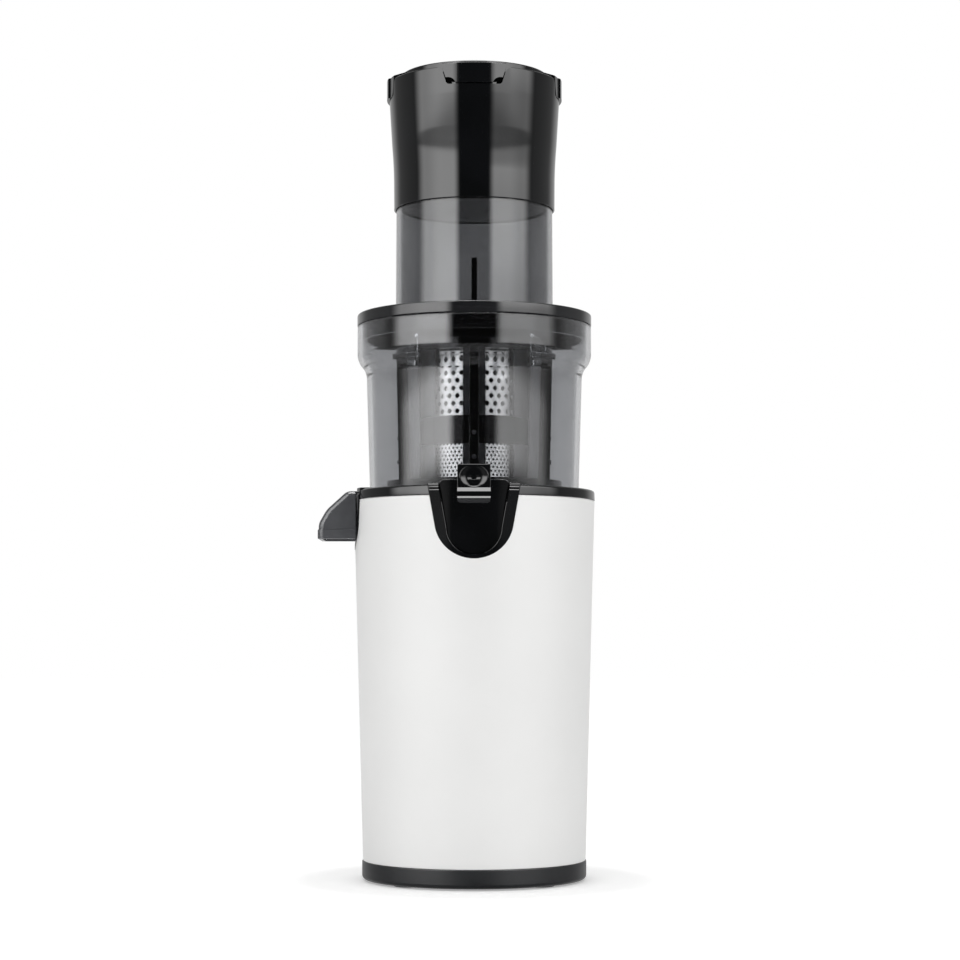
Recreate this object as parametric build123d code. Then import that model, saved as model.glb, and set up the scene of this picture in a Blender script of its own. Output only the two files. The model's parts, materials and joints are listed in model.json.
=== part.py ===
from build123d import *
import os
from math import cos, pi, radians, sin, tan

# A compact vertical cold press juicer, millimetres, +Z up.
# The drive axis is the Z axis, the floor is z = 0 and the juice spout points along -Y.

# ---- Play between pieces ----
GAP = 0.3  # between pieces that only lie next to each other
RUN = 0.05  # radial play of a shaft in its bearing
SLIDE = 0.5  # play of a loose plug in its saddle

# ---- Base shells ----
FOOT_HEIGHT = 2.2  # how far the feet stand out under the tray
FOOT_RADIUS = 8.5
FOOT_POCKET = 1.4
FOOT_CIRCLE = 48.0
TRAY_RADIUS = 60.15
TRAY_HEIGHT = 8.7
TRAY_FLOOR = 2.7
TRAY_EDGE = 2.4
SPIGOT_RISE = 6.0
HOUSING_HEIGHT = 193.4
HOUSING_FOOT_RADIUS = 60.0
HOUSING_TOP_RADIUS = 65.4
SHELL_WALL = 2.5
RIM_RADIUS = 65.6
RIM_HEIGHT = 5.3
WELL_DEPTH = 10.1
DECK_WALL = 3.0

# ---- Saddles: the U openings that the outlets leave through ----
SADDLE_HALF = 23.6  # half width at the deck ring
SADDLE_KNEE_HALF = 21.6  # half width where the arc starts
SADDLE_BAND = 5.2  # width of the band at the top
SADDLE_SILL = 1.8  # thickness of the band at the bottom
SADDLE_PROUD = 0.6
SADDLE_RISE = 0.8  # how far the ends of the band stand above the rim
SADDLE_WALL = 2.5
JUICE_SADDLE_DEPTH = 38.4
PULP_SADDLE_DEPTH = 32.4
SADDLE_ARC_SHARE = 0.58  # part of the depth that the arc takes

# ---- Bowl ----
BOWL_FOOT_RADIUS = 56.5
BOWL_NECK_RADIUS = 58.8
BOWL_BAND_RADIUS = 63.8
BOWL_WALL = 2.6
BOWL_FLOOR = 3.0
BOWL_NECK_RISE = 73.0
BOWL_BAND_RISE = 79.0
BOWL_HEIGHT = 99.8
BOSS_RADIUS = 11.0
BOSS_BORE = 8.5
BOSS_HEIGHT = 9.5

# ---- Juice nozzle and its cap ----
NOZZLE_RADIUS = 6.6
NOZZLE_BORE = 5.0
NOZZLE_RISE = 11.5  # axis above the bowl's underside
NOZZLE_REACH = 71.0
CAP_WIDTH = 17.1
CAP_THICKNESS = 3.2
CAP_TOP = 8.1  # above the nozzle axis
CAP_LEDGE = 4.0  # below the nozzle axis
CAP_FOOT = 12.0  # below the nozzle axis
CAP_LIP = 2.6
CAP_LIP_REACH = 2.4
CAP_DISH = 6.5
CAP_DISH_DEPTH = 1.0
HINGE_RADIUS = 2.0
HINGE_PIN = 0.9
HINGE_RISE = 6.2
HINGE_HALF = 5.6

# ---- Spout shield ----
SHIELD_THICKNESS = 2.6
SHIELD_INSET = 0.8
SHIELD_RISE = 2.5  # above the deck ring
SHIELD_CORNER = 2.7

# ---- Pulp spout ----
SPOUT_REACH = 84.2
SPOUT_HALF = 19.0
SPOUT_WALL = 2.0
SPOUT_CORNER = 7.0
SPOUT_FOOT = 16.4  # below the bowl's underside
SPOUT_HEAD = 9.6  # above the bowl's underside
SPOUT_LIP_HEIGHT = 5.0
SPOUT_LIP = 0.4
SPOUT_SHOULDER = 68.0
SPOUT_DROP = 19.0  # from the hood's top down to its upright end
TROUGH_HALF = 10.5
TROUGH_DEPTH = 14.0
PLUG_THICKNESS = 1.5
PULP_HOLE_HALF = 8.0
PULP_HOLE = (-31.0, -19.0)  # along X, through the bowl's floor

# ---- Drive train ----
MOTOR_RADIUS = 33.0
MOTOR_WALL = 1.6
MOTOR_HEIGHT = 66.0
MOTOR_CAP = 4.0
STAND_HEIGHT = 22.0
CUSHION = 3.0
ARMATURE_RADIUS = 19.0
MAGNET_THICKNESS = 9.0
MOTOR_SHAFT = 3.0
MOTOR_BEARING = 8.0
BEARING_HEIGHT = 4.0
FAN_RADIUS = 27.0
FAN_HEIGHT = 8.0
FAN_BLADES = 7
GEAR_MODULE = 1.2
PINION_TEETH = 10
WHEEL_TEETH = 30
GEAR_FACE = 10.0
GEAR_STEP = 12.0
CASE_RADIUS = 48.0
CASE_WALL = 2.5
CASE_FLOOR = 4.0
CASE_EAR = 52.0
EAR_RADIUS = 5.5
OUTPUT_SHAFT = 6.0
OUTPUT_BEARING = 11.0
OUTPUT_BEARING_HEIGHT = 9.0
SEAL_WIDTH = 4.2
HEX_FLATS = 9.6
HEX_RISE = 38.0  # above the deck's well

# ---- Bowl gears: auger, idler, brush ring ----
BOWL_MODULE = 2.0
SUN_TEETH = 16
IDLER_TEETH = 10
IDLER_AZIMUTH = 60.0
IDLER_PIN = 2.5
BOWL_GEAR_FACE = 5.5
BOWL_GEAR_LIFT = 3.0
TOOTH_ADDENDUM = 0.85
TOOTH_DEDENDUM = 1.2
TOOTH_PLAY = 0.30
PRESSURE_ANGLE = 20.0

# ---- Strainer ----
SCREEN_BORE = 26.6
SCREEN_SHEET = 0.6
FRAME_WALL = 1.7
SEAT_FLANGE = 33.4
SEAT_PLATE = 2.6
FINE_LOW = 16.1  # heights above the bowl's underside
FINE_HIGH = 34.3
COARSE_LOW = 49.3
COARSE_HIGH = 90.8
FRAME_TOP = 96.5
WINDOW_ANGLE = 66.0
WINDOWS = 4
COARSE_HOLE = 2.4
COARSE_COLUMNS = 5
COARSE_ROWS = 7
FINE_HOLE = 1.2
FINE_COLUMNS = 6
FINE_ROWS = 4

# ---- Brush ----
BRUSH_RING = 47.7
BRUSH_PLATE = 3.0
POST_INNER = 34.4
POST_OUTER = 40.8
POST_LEAN = 1.8
POST_WIDTH = 5.0
POSTS = 4
POST_HEIGHT = 69.0
HOOP_HEIGHT = 7.5
BLADE_SHEET = 1.6
STUD_RADIUS = 1.3
STUD_RISES = (11.0, 24.0)

# ---- Auger ----
FLIGHT_RADIUS = 26.2
FLIGHT_PITCH = 23.0
FLIGHT_THICKNESS = 3.0
CORE_FOOT_RADIUS = 20.5
CORE_TOP_RADIUS = 12.5
NECK_RADIUS = 16.6
CORE_HEIGHT = 84.0  # above the bowl's underside
CONE_HEIGHT = 14.0
FIN_THICKNESS = 3.0
FIN_TIP = 136.2  # above the bowl's underside
FIN_REACH = 24.0

# ---- Hopper ----
LID_RADIUS = 63.95
LID_HEIGHT = 6.1
LID_PLATE = 2.5
LID_EDGE = 2.4
CHUTE_BORE = 40.2
CHUTE_WALL = 2.5
CHUTE_DRAFT = 0.25
CHUTE_HEIGHT = 73.4  # above the bowl's rim
SPIGOT_DEPTH = 8.3
SPIGOT_WALL = 2.4
FUNNEL_MOUTH = 29.5
HOOKS = (52.0, 128.0, 232.0, 308.0)
HOOK_DROP = 26.0
HOOK_WIDTH = 9.0
LEDGE_WIDTH = 16.0

# ---- Collar and pusher ----
COLLAR_FOOT_RADIUS = 44.0
COLLAR_WAIST_RADIUS = 44.2
COLLAR_SHOULDER_RADIUS = 46.2
COLLAR_TOP_RADIUS = 47.1
COLLAR_WALL = 2.2
COLLAR_LAP = 9.2
COLLAR_STRAIGHT = 21.0
COLLAR_FLARE = 26.0  # height of the steeper stretch above the straight one
COLLAR_HEIGHT = 70.0
NOTCH_DEPTH = 9.6
NOTCH_FOOT_HALF = 14.7
NOTCH_TOP_HALF = 17.0
NOTCH_CORNER = 2.0
NOTCH_SHOULDER = 3.0
PUSHER_FOOT_RADIUS = 38.6
PUSHER_TOP_RADIUS = 40.5
PUSHER_WALL = 2.4
PUSHER_RISE = 5.6  # above the collar
LIP_RADIUS = 48.1
LIP_THICKNESS = 2.0
LIP_FOOT_HALF = 8.7

# ---- Switch, gland, board ----
SWITCH_HEIGHT = 72.0
BEZEL_HALF_WIDTH = 12.0
BEZEL_HALF_HEIGHT = 16.0
BEZEL_FLANGE = 1.5
ROCKER_HALF_WIDTH = 7.6
ROCKER_HALF_HEIGHT = 12.0
GLAND_RADIUS = 7.0
GLAND_FLANGE = 2.2
GLAND_BORE = 3.6
BOARD = (1.6, 32.0, 40.0)
BOARD_PLACE = 37.0

# ---- Screws ----
SCREW_RADIUS = 1.6
SCREW_HEAD = 3.2
SCREW_HEAD_HEIGHT = 1.2
TRAY_SCREW_CIRCLE = 50.3
TRAY_SCREW_AZIMUTH = 75.0
TRAY_SCREW_LENGTH = 14.0
CASE_SCREW_LENGTH = 22.0

# ---- Levels that follow ----
TRAY_TOP = FOOT_HEIGHT + TRAY_HEIGHT
TRAY_INSIDE = FOOT_HEIGHT + TRAY_FLOOR
GLAND_HEIGHT = TRAY_TOP + SPIGOT_RISE + GLAND_RADIUS + GLAND_FLANGE + 1.0
HOUSING_TOP = TRAY_TOP + HOUSING_HEIGHT
DECK_TOP = HOUSING_TOP + RIM_HEIGHT
WELL = DECK_TOP - WELL_DEPTH
WELL_UNDER = WELL - DECK_WALL
WELL_RADIUS = BOWL_FOOT_RADIUS + 0.9
BACK_RADIUS = WELL_RADIUS + SADDLE_WALL
DECK_SPIGOT = HOUSING_TOP_RADIUS - SHELL_WALL - 0.6
BOWL_BASE = WELL
BOWL_INSIDE = BOWL_BASE + BOWL_FLOOR
BOWL_TOP = BOWL_BASE + BOWL_HEIGHT
NOZZLE_LEVEL = BOWL_BASE + NOZZLE_RISE
SUN_LEVEL = BOWL_INSIDE + BOWL_GEAR_LIFT
SEAT_LEVEL = BOWL_INSIDE + BOSS_HEIGHT
LID_BASE = BOWL_TOP + GAP
LID_TOP = LID_BASE + LID_HEIGHT
CHUTE_TOP = LID_BASE + CHUTE_HEIGHT
COLLAR_FOOT = CHUTE_TOP - COLLAR_LAP
COLLAR_TOP = COLLAR_FOOT + COLLAR_HEIGHT
NOTCH_FLOOR = COLLAR_TOP - NOTCH_DEPTH
PUSHER_TOP = COLLAR_TOP + PUSHER_RISE
MOTOR_BASE = TRAY_INSIDE + STAND_HEIGHT + CUSHION
MOTOR_TOP = MOTOR_BASE + MOTOR_HEIGHT
CASE_BASE = MOTOR_TOP + MOTOR_CAP
GEAR_BASE = CASE_BASE + CASE_FLOOR + 3.0
CASE_TOP = GEAR_BASE + 3 * GEAR_STEP + 2.0
COVER_TOP = CASE_TOP + CASE_FLOOR
AXLE_DISTANCE = GEAR_MODULE * (PINION_TEETH + WHEEL_TEETH) / 2
IDLER_DISTANCE = BOWL_MODULE * (SUN_TEETH + IDLER_TEETH) / 2
RING_TEETH = SUN_TEETH + 2 * IDLER_TEETH
FRAME_RADIUS = SCREEN_BORE + SCREEN_SHEET + FRAME_WALL
EARS = [45.0 + 90.0 * i for i in range(4)]


def outline(*corners):
    """Closed face through (x, y) corners; a third value rounds that corner."""
    face = make_face(Polyline(*[corner[:2] for corner in corners], close=True))
    for corner in corners:
        if len(corner) == 3:
            vertex = face.vertices().sort_by_distance((corner[0], corner[1], 0))[0]
            face = fillet(vertex, corner[2])
    return face


def turned(*corners):
    """Solid of revolution about Z of a (radius, height) outline."""
    return revolve(Plane.XZ * outline(*corners), Axis.Z)


def upright(face, low, high):
    """Face drawn in plan, raised from low to high."""
    return Pos(0, 0, low) * extrude(face, high - low)


def tube(outer, inner, low, high):
    return upright(Circle(outer) - Circle(inner), low, high)


def rod(radius, low, high):
    return upright(Circle(radius), low, high)


def block(x, y, z):
    """Box between the two values of each axis."""
    size = [high - low for low, high in (x, y, z)]
    middle = [(high + low) / 2 for low, high in (x, y, z)]
    return Pos(*middle) * Box(*size)


def frontward(face, near, far):
    """Face drawn in (x, z), drawn out along -Y from near to far."""
    return extrude(Plane.XZ.offset(near) * face, far - near)


def sideward(face, half):
    """Face drawn in (y, z), drawn out along X to both sides."""
    return extrude(Plane.YZ * face, half, both=True)


def around(shape, azimuths):
    """Copies of a shape turned about Z."""
    return [Rot(0, 0, azimuth) * shape for azimuth in azimuths]


def sector(radius, azimuth, width, low, high):
    """Wedge about Z, width degrees wide, centred on the azimuth."""
    far = radius / cos(radians(width / 2))
    ends = [radians(azimuth - width / 2), radians(azimuth + width / 2)]
    points = [(0, 0)] + [(far * cos(a), far * sin(a)) for a in ends]
    return upright(make_face(Polyline(*points, close=True)), low, high)


def housing_radius(z):
    slope = (HOUSING_TOP_RADIUS - HOUSING_FOOT_RADIUS) / HOUSING_HEIGHT
    return HOUSING_FOOT_RADIUS + slope * (z - TRAY_TOP)


def housing_cone(grow, low, high):
    """The housing's tapered outer form, grown or shrunk."""
    return turned(
        (0, low),
        (housing_radius(low) + grow, low),
        (housing_radius(high) + grow, high),
        (0, high),
    )


# ---- Gears ----
def tooth_points(teeth, module, inward=False):
    """Straight-flanked teeth, thinned for running play; the first tooth is at angle 0."""
    pitch = module * teeth / 2
    side = -1 if inward else 1
    tip = pitch + side * TOOTH_ADDENDUM * module
    root = pitch - side * TOOTH_DEDENDUM * module
    half = (pi * module / 2 - TOOTH_PLAY * module) / 2
    slope = tan(radians(PRESSURE_ANGLE))
    tip_angle = (half - abs(tip - pitch) * slope) / tip
    root_angle = (half + abs(root - pitch) * slope * 0.55) / root
    points = []
    for i in range(teeth):
        middle = 2 * pi * i / teeth
        for radius, angle in (
            (root, -root_angle),
            (tip, -tip_angle),
            (tip, tip_angle),
            (root, root_angle),
        ):
            points.append((radius * cos(middle + angle), radius * sin(middle + angle)))
    return points


def gear(teeth, module, phase, low, high):
    face = make_face(Polyline(*tooth_points(teeth, module), close=True))
    return upright(Rot(0, 0, phase) * face, low, high)


def mesh_phase(azimuth, teeth, phase, next_teeth):
    """Phase of a gear that meshes, in the azimuth's direction, with one of a known phase."""
    offset = (phase - azimuth) * teeth / 360
    return azimuth + 180 + (0.5 - offset) * 360 / next_teeth


def ring_phase(azimuth, teeth, phase, ring_teeth):
    """Phase of an internal ring round a gear that touches it at the azimuth."""
    offset = (phase - azimuth) * teeth / 360
    return azimuth + (offset - 0.5) * 360 / ring_teeth


def place(azimuth, distance):
    return Pos(distance * cos(radians(azimuth)), distance * sin(radians(azimuth)), 0)


# ---- Saddles ----
def saddle_outline(inset, sill, depth):
    """U outline in (x, z): flared sides and an arc at the bottom."""
    top = DECK_TOP + 20.0
    flare = (SADDLE_HALF - SADDLE_KNEE_HALF) / (depth * (1 - SADDLE_ARC_SHARE))
    knee = DECK_TOP - depth * (1 - SADDLE_ARC_SHARE)
    half = SADDLE_KNEE_HALF - inset
    top_half = half + flare * (top - knee)
    bottom = DECK_TOP - depth + sill
    sides = Polyline((-half, knee), (-top_half, top), (top_half, top), (half, knee))
    bow = ThreePointArc((half, knee), (0, bottom), (-half, knee))
    return make_face(sides.edges() + bow.edges())


def saddle(depth):
    """Band and back wall of one saddle, and the space inside them."""
    band_top = DECK_TOP + SADDLE_RISE
    envelope = housing_cone(SADDLE_PROUD, DECK_TOP - depth - 1, band_top)
    form = frontward(saddle_outline(0, 0, depth), WELL_RADIUS - 12, RIM_RADIUS + 5)
    frame = (form & envelope) - rod(WELL_RADIUS, DECK_TOP - depth - 1, band_top + 1)
    space = frontward(
        saddle_outline(SADDLE_BAND, SADDLE_SILL, depth), WELL_RADIUS - 12, RIM_RADIUS + 10
    )
    space -= rod(BACK_RADIUS, DECK_TOP - depth - 1, WELL)
    return frame, space


def to_left(shape):
    return Rot(0, 0, -90) * shape


# ---- Base ----
def foot(azimuth):
    return place(azimuth, FOOT_CIRCLE) * turned(
        (0, 0),
        (FOOT_RADIUS, 0, 0.8),
        (FOOT_RADIUS, FOOT_HEIGHT + FOOT_POCKET),
        (0, FOOT_HEIGHT + FOOT_POCKET),
    )


def bottom_tray():
    inner = HOUSING_FOOT_RADIUS - SHELL_WALL - 0.4
    wall = inner - 2.2
    tray = turned(
        (0, FOOT_HEIGHT),
        (TRAY_RADIUS, FOOT_HEIGHT, TRAY_EDGE),
        (TRAY_RADIUS, TRAY_TOP),
        (inner, TRAY_TOP),
        (inner, TRAY_TOP + SPIGOT_RISE),
        (wall, TRAY_TOP + SPIGOT_RISE),
        (wall, TRAY_INSIDE),
        (0, TRAY_INSIDE),
    )
    stand = tube(MOTOR_RADIUS - 1, MOTOR_RADIUS - 3.5, TRAY_INSIDE, TRAY_INSIDE + STAND_HEIGHT)
    windows = block((0, MOTOR_RADIUS + 5), (-7, 7), (TRAY_INSIDE + 4, TRAY_INSIDE + 17))
    for window in around(windows, [60 * i + 30 for i in range(6)]):
        stand -= window
    tray += stand
    for side in (-1, 1):
        clip = block(
            (BOARD_PLACE - 2, BOARD_PLACE + BOARD[0] + 2),
            (side * 13 - 2, side * 13 + 2),
            (TRAY_INSIDE, TRAY_INSIDE + 18),
        )
        tray += clip
    slot = block(
        (BOARD_PLACE, BOARD_PLACE + BOARD[0]),
        (-BOARD[1] / 2, BOARD[1] / 2),
        (TRAY_INSIDE + 15, TRAY_INSIDE + 19),
    )
    tray -= slot
    vent = upright(Pos(18, 0) * SlotOverall(16, 3.4), 0, TRAY_INSIDE + 1)
    for cut in around(vent, [30 * i for i in range(12)]):
        tray -= cut
    pocket = rod(FOOT_RADIUS + 0.1, 0, FOOT_HEIGHT + FOOT_POCKET)
    for azimuth in EARS:
        tray -= place(azimuth, FOOT_CIRCLE) * pocket
    for place_of in tray_screw_places():
        tray -= place_of * rod(SCREW_HEAD + 0.2, 0, FOOT_HEIGHT + SCREW_HEAD_HEIGHT)
        tray -= place_of * rod(SCREW_RADIUS + 0.2, 0, TRAY_INSIDE + 1)
    return tray


def tray_screw_places():
    return [place(TRAY_SCREW_AZIMUTH + 90 * i, TRAY_SCREW_CIRCLE) for i in range(4)]


def tray_screws():
    low = FOOT_HEIGHT + GAP / 3
    head = FOOT_HEIGHT + SCREW_HEAD_HEIGHT
    screw = rod(SCREW_HEAD, low, head) + rod(SCREW_RADIUS, head, head + TRAY_SCREW_LENGTH)
    return [place_of * screw for place_of in tray_screw_places()]


def housing():
    shell = housing_cone(0, TRAY_TOP, HOUSING_TOP)
    shell -= housing_cone(-SHELL_WALL, TRAY_TOP - 1, HOUSING_TOP + 1)
    post_top = TRAY_TOP + 26
    for i in range(4):
        turn = Rot(0, 0, TRAY_SCREW_AZIMUTH + 90 * i)
        post = Pos(TRAY_SCREW_CIRCLE, 0) * rod(4, TRAY_INSIDE, post_top)
        wall = housing_radius(TRAY_TOP) - SHELL_WALL
        rib = block((TRAY_SCREW_CIRCLE, wall + 1), (-1.2, 1.2), (TRAY_TOP + SPIGOT_RISE + GAP, post_top))
        bore = Pos(TRAY_SCREW_CIRCLE, 0) * rod(SCREW_RADIUS, 0, FOOT_HEIGHT + TRAY_SCREW_LENGTH + 3)
        shell += turn * (post + rib)
        shell -= turn * bore
    for depth, turn in ((JUICE_SADDLE_DEPTH, 0), (PULP_SADDLE_DEPTH, -90)):
        opening = saddle_outline(-0.2, -0.2, depth)
        shell -= Rot(0, 0, turn) * frontward(opening, HOUSING_FOOT_RADIUS - 10, RIM_RADIUS + 5)
    shell -= block(
        (-BEZEL_HALF_WIDTH - 0.2, BEZEL_HALF_WIDTH + 0.2),
        (HOUSING_FOOT_RADIUS - 12, RIM_RADIUS + 5),
        (SWITCH_HEIGHT - BEZEL_HALF_HEIGHT - 0.2, SWITCH_HEIGHT + BEZEL_HALF_HEIGHT + 0.2),
    )
    shell -= backward_rod(GLAND_RADIUS + 0.2, GLAND_HEIGHT, HOUSING_FOOT_RADIUS - 12, RIM_RADIUS + 5)
    return shell


def backward_rod(radius, level, near, far):
    """Rod along +Y at a height, between two distances from the axis."""
    return Pos(0, near, level) * Rot(-90, 0, 0) * rod(radius, 0, far - near)


def deck():
    hub = OUTPUT_SHAFT + SEAL_WIDTH + RUN
    body = turned(
        (hub, WELL_UNDER),
        (DECK_SPIGOT, WELL_UNDER),
        (DECK_SPIGOT, HOUSING_TOP),
        (RIM_RADIUS, HOUSING_TOP),
        (RIM_RADIUS, DECK_TOP, 1.4),
        (WELL_RADIUS, DECK_TOP, 0.8),
        (WELL_RADIUS, WELL),
        (hub, WELL),
    )
    body += tube(hub + DECK_WALL, hub, WELL_UNDER - 6, WELL_UNDER)
    post = rod(4.5, COVER_TOP, WELL_UNDER)
    pilot = rod(SCREW_RADIUS + 0.1, COVER_TOP - 1, COVER_TOP + 15)
    for azimuth in EARS:
        body += place(azimuth, CASE_EAR) * post
        body -= place(azimuth, CASE_EAR) * pilot
    frame, space = saddle(JUICE_SADDLE_DEPTH)
    left_frame, left_space = saddle(PULP_SADDLE_DEPTH)
    trench_half = TROUGH_HALF + 1.5
    trench_floor = BOWL_BASE - SPOUT_FOOT - PLUG_THICKNESS
    trench = block(
        (-BACK_RADIUS + 1, -hub - 1.5),
        (-trench_half - SADDLE_WALL, trench_half + SADDLE_WALL),
        (trench_floor - SADDLE_WALL, WELL_UNDER + 1),
    )
    dig = block(
        (-BACK_RADIUS - 4, -hub - 1.5 - SADDLE_WALL),
        (-trench_half, trench_half),
        (trench_floor, WELL + 1),
    )
    body += frame + to_left(left_frame) + trench
    body -= space
    body -= to_left(left_space)
    body -= dig
    return body


def shaft_seal():
    return tube(OUTPUT_SHAFT + SEAL_WIDTH, OUTPUT_SHAFT + 0.4, WELL_UNDER - 6, WELL_UNDER - 1)


def cord_gland():
    inner = (housing_radius(GLAND_HEIGHT) - SHELL_WALL) - 1.6
    outer = housing_radius(GLAND_HEIGHT) + 2.4
    gland = backward_rod(GLAND_RADIUS, GLAND_HEIGHT, inner - 3, outer)
    gland += backward_rod(GLAND_RADIUS + GLAND_FLANGE, GLAND_HEIGHT, inner - 3, inner)
    return gland - backward_rod(GLAND_BORE, GLAND_HEIGHT, inner - 4, outer + 1)


def switch_bezel():
    front = housing_radius(SWITCH_HEIGHT) + 0.9
    back = front - 10.0
    flange_front = front - 6.2
    low = SWITCH_HEIGHT - BEZEL_HALF_HEIGHT
    high = SWITCH_HEIGHT + BEZEL_HALF_HEIGHT
    frame = block((-BEZEL_HALF_WIDTH, BEZEL_HALF_WIDTH), (back, front), (low, high))
    frame += block(
        (-BEZEL_HALF_WIDTH - BEZEL_FLANGE, BEZEL_HALF_WIDTH + BEZEL_FLANGE),
        (back, flange_front),
        (low - BEZEL_FLANGE, high + BEZEL_FLANGE),
    )
    frame -= block(
        (-ROCKER_HALF_WIDTH - GAP, ROCKER_HALF_WIDTH + GAP),
        (back + 2.0, front + 1),
        (SWITCH_HEIGHT - ROCKER_HALF_HEIGHT - 1.4, SWITCH_HEIGHT + ROCKER_HALF_HEIGHT + 1.4),
    )
    axle = Pos(0, rocker_axis(), SWITCH_HEIGHT) * Rot(0, 90, 0)
    return frame - axle * Cylinder(1.5 + RUN, 2 * ROCKER_HALF_WIDTH + 4)


def rocker_axis():
    return housing_radius(SWITCH_HEIGHT) - 4.0


def rocker():
    y = rocker_axis()
    z = SWITCH_HEIGHT
    half = ROCKER_HALF_HEIGHT
    cushion = outline(
        (y - 1.8, z - 7),
        (y + 2.0, z - half),
        (y + 5.2, z - half, 0.6),
        (y + 3.4, z),
        (y + 5.2, z + half, 0.6),
        (y + 2.0, z + half),
        (y - 1.8, z + 7),
    )
    axle = Pos(0, y, z) * Rot(0, 90, 0) * Cylinder(1.5, 2 * ROCKER_HALF_WIDTH + 3.4)
    return sideward(cushion, ROCKER_HALF_WIDTH) + axle


def control_board():
    low = TRAY_INSIDE + 15
    board = block(
        (BOARD_PLACE, BOARD_PLACE + BOARD[0]), (-BOARD[1] / 2, BOARD[1] / 2), (low, low + BOARD[2])
    )
    for y, z, size in ((-8, 28, 7), (7, 31, 9), (5, 12, 6)):
        face = BOARD_PLACE + BOARD[0]
        level = low + z - size / 2
        board += block((face, face + size * 0.6), (y - 4, y + 4), (level, level + size))
    return board


def safety_switch():
    return block((40, 46.5), (-10, 10), (WELL_UNDER - 10, WELL_UNDER))


# ---- Motor ----
def motor_cushion():
    low = TRAY_INSIDE + STAND_HEIGHT
    return tube(MOTOR_RADIUS, MOTOR_RADIUS - 4, low, low + CUSHION)


def motor_can():
    can = turned(
        (MOTOR_BEARING, MOTOR_BASE),
        (MOTOR_RADIUS, MOTOR_BASE, 1.5),
        (MOTOR_RADIUS, MOTOR_TOP),
        (MOTOR_RADIUS - MOTOR_WALL, MOTOR_TOP),
        (MOTOR_RADIUS - MOTOR_WALL, MOTOR_BASE + MOTOR_WALL),
        (MOTOR_BEARING + MOTOR_WALL, MOTOR_BASE + MOTOR_WALL),
        (MOTOR_BEARING + MOTOR_WALL, MOTOR_BASE + BEARING_HEIGHT),
        (MOTOR_BEARING, MOTOR_BASE + BEARING_HEIGHT),
    )
    slot = block((12, 26), (-3, 3), (MOTOR_BASE - 1, MOTOR_BASE + MOTOR_WALL + 0.5))
    for cut in around(slot, [60 * i for i in range(6)]):
        can -= cut
    return can


def motor_magnets():
    outer = MOTOR_RADIUS - MOTOR_WALL
    shell = tube(outer, outer - MAGNET_THICKNESS, MOTOR_BASE + 8, MOTOR_TOP - 10)
    return [shell & sector(outer + 2, a, 140, MOTOR_BASE, MOTOR_TOP) for a in (0, 180)]


def motor_end_cap():
    return tube(MOTOR_RADIUS, MOTOR_BEARING, MOTOR_TOP, CASE_BASE)


def motor_bearing(low):
    return tube(MOTOR_BEARING, MOTOR_SHAFT + RUN, low, low + BEARING_HEIGHT)


def motor_armature():
    low = MOTOR_BASE + 12
    high = MOTOR_TOP - 14
    core = rod(ARMATURE_RADIUS, low, high)
    slot = block((10, ARMATURE_RADIUS + 1), (-1.5, 1.5), (low - 1, high + 1))
    for cut in around(slot, [36 * i for i in range(10)]):
        core -= cut
    core += rod(MOTOR_SHAFT, TRAY_INSIDE + 8, GEAR_BASE + GEAR_FACE)
    core += rod(8, high + 5, high + 10)
    return core + gear(PINION_TEETH, GEAR_MODULE, 0, GEAR_BASE, GEAR_BASE + GEAR_FACE)


def motor_windings():
    low = MOTOR_BASE + 12
    high = MOTOR_TOP - 14
    return [
        tube(ARMATURE_RADIUS - 2, MOTOR_SHAFT + 2, low - 5, low),
        tube(ARMATURE_RADIUS - 2, MOTOR_SHAFT + 2, high, high + 4),
    ]


def motor_fan():
    low = TRAY_INSIDE + 10
    fan = tube(6, MOTOR_SHAFT, low, low + FAN_HEIGHT)
    fan += tube(FAN_RADIUS, MOTOR_SHAFT, low, low + 1.2)
    blade = Rot(20, 0, 0) * Box(FAN_RADIUS - 5, 1.4, FAN_HEIGHT - 1)
    blade = Pos((FAN_RADIUS + 4) / 2, 0, low + FAN_HEIGHT / 2 + 0.4) * blade
    for vane in around(blade, [360 / FAN_BLADES * i for i in range(FAN_BLADES)]):
        fan += vane
    return fan & rod(FAN_RADIUS, low, low + FAN_HEIGHT)


# ---- Gearbox ----
AXLE_A = 150.0
AXLE_B = AXLE_A + 60.0
PHASE_A = mesh_phase(AXLE_A, PINION_TEETH, 0, WHEEL_TEETH)
PHASE_B = mesh_phase(AXLE_B + 60.0, PINION_TEETH, PHASE_A, WHEEL_TEETH)
PHASE_OUT = mesh_phase(AXLE_B + 180.0, PINION_TEETH, PHASE_B, WHEEL_TEETH)


def cluster(phase, stage):
    """Wheel of one stage and pinion of the next on a common axle."""
    wheel = GEAR_BASE + stage * GEAR_STEP
    pinion = wheel + GEAR_STEP
    axle = rod(MOTOR_SHAFT, CASE_BASE + CASE_FLOOR - 2, CASE_TOP + 2)
    wheels = gear(WHEEL_TEETH, GEAR_MODULE, phase, wheel, wheel + GEAR_FACE)
    hub = rod(MOTOR_SHAFT + 1.2, wheel, pinion)
    return axle + wheels + hub + gear(PINION_TEETH, GEAR_MODULE, phase, pinion, pinion + GEAR_FACE)


def axle_holes(low, high):
    return [place(a, AXLE_DISTANCE) * rod(MOTOR_SHAFT + RUN, low, high) for a in (AXLE_A, AXLE_B)]


def case_ears(low, high, hole):
    ear = rod(EAR_RADIUS, low, high)
    web = block((0, CASE_EAR), (-EAR_RADIUS, EAR_RADIUS), (low, high))
    ears = around(web + Pos(CASE_EAR, 0) * ear, EARS)
    body = ears[0] + ears[1] + ears[2] + ears[3]
    for azimuth in EARS:
        body -= place(azimuth, CASE_EAR) * rod(hole, low - 1, high + 1)
    return body


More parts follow.
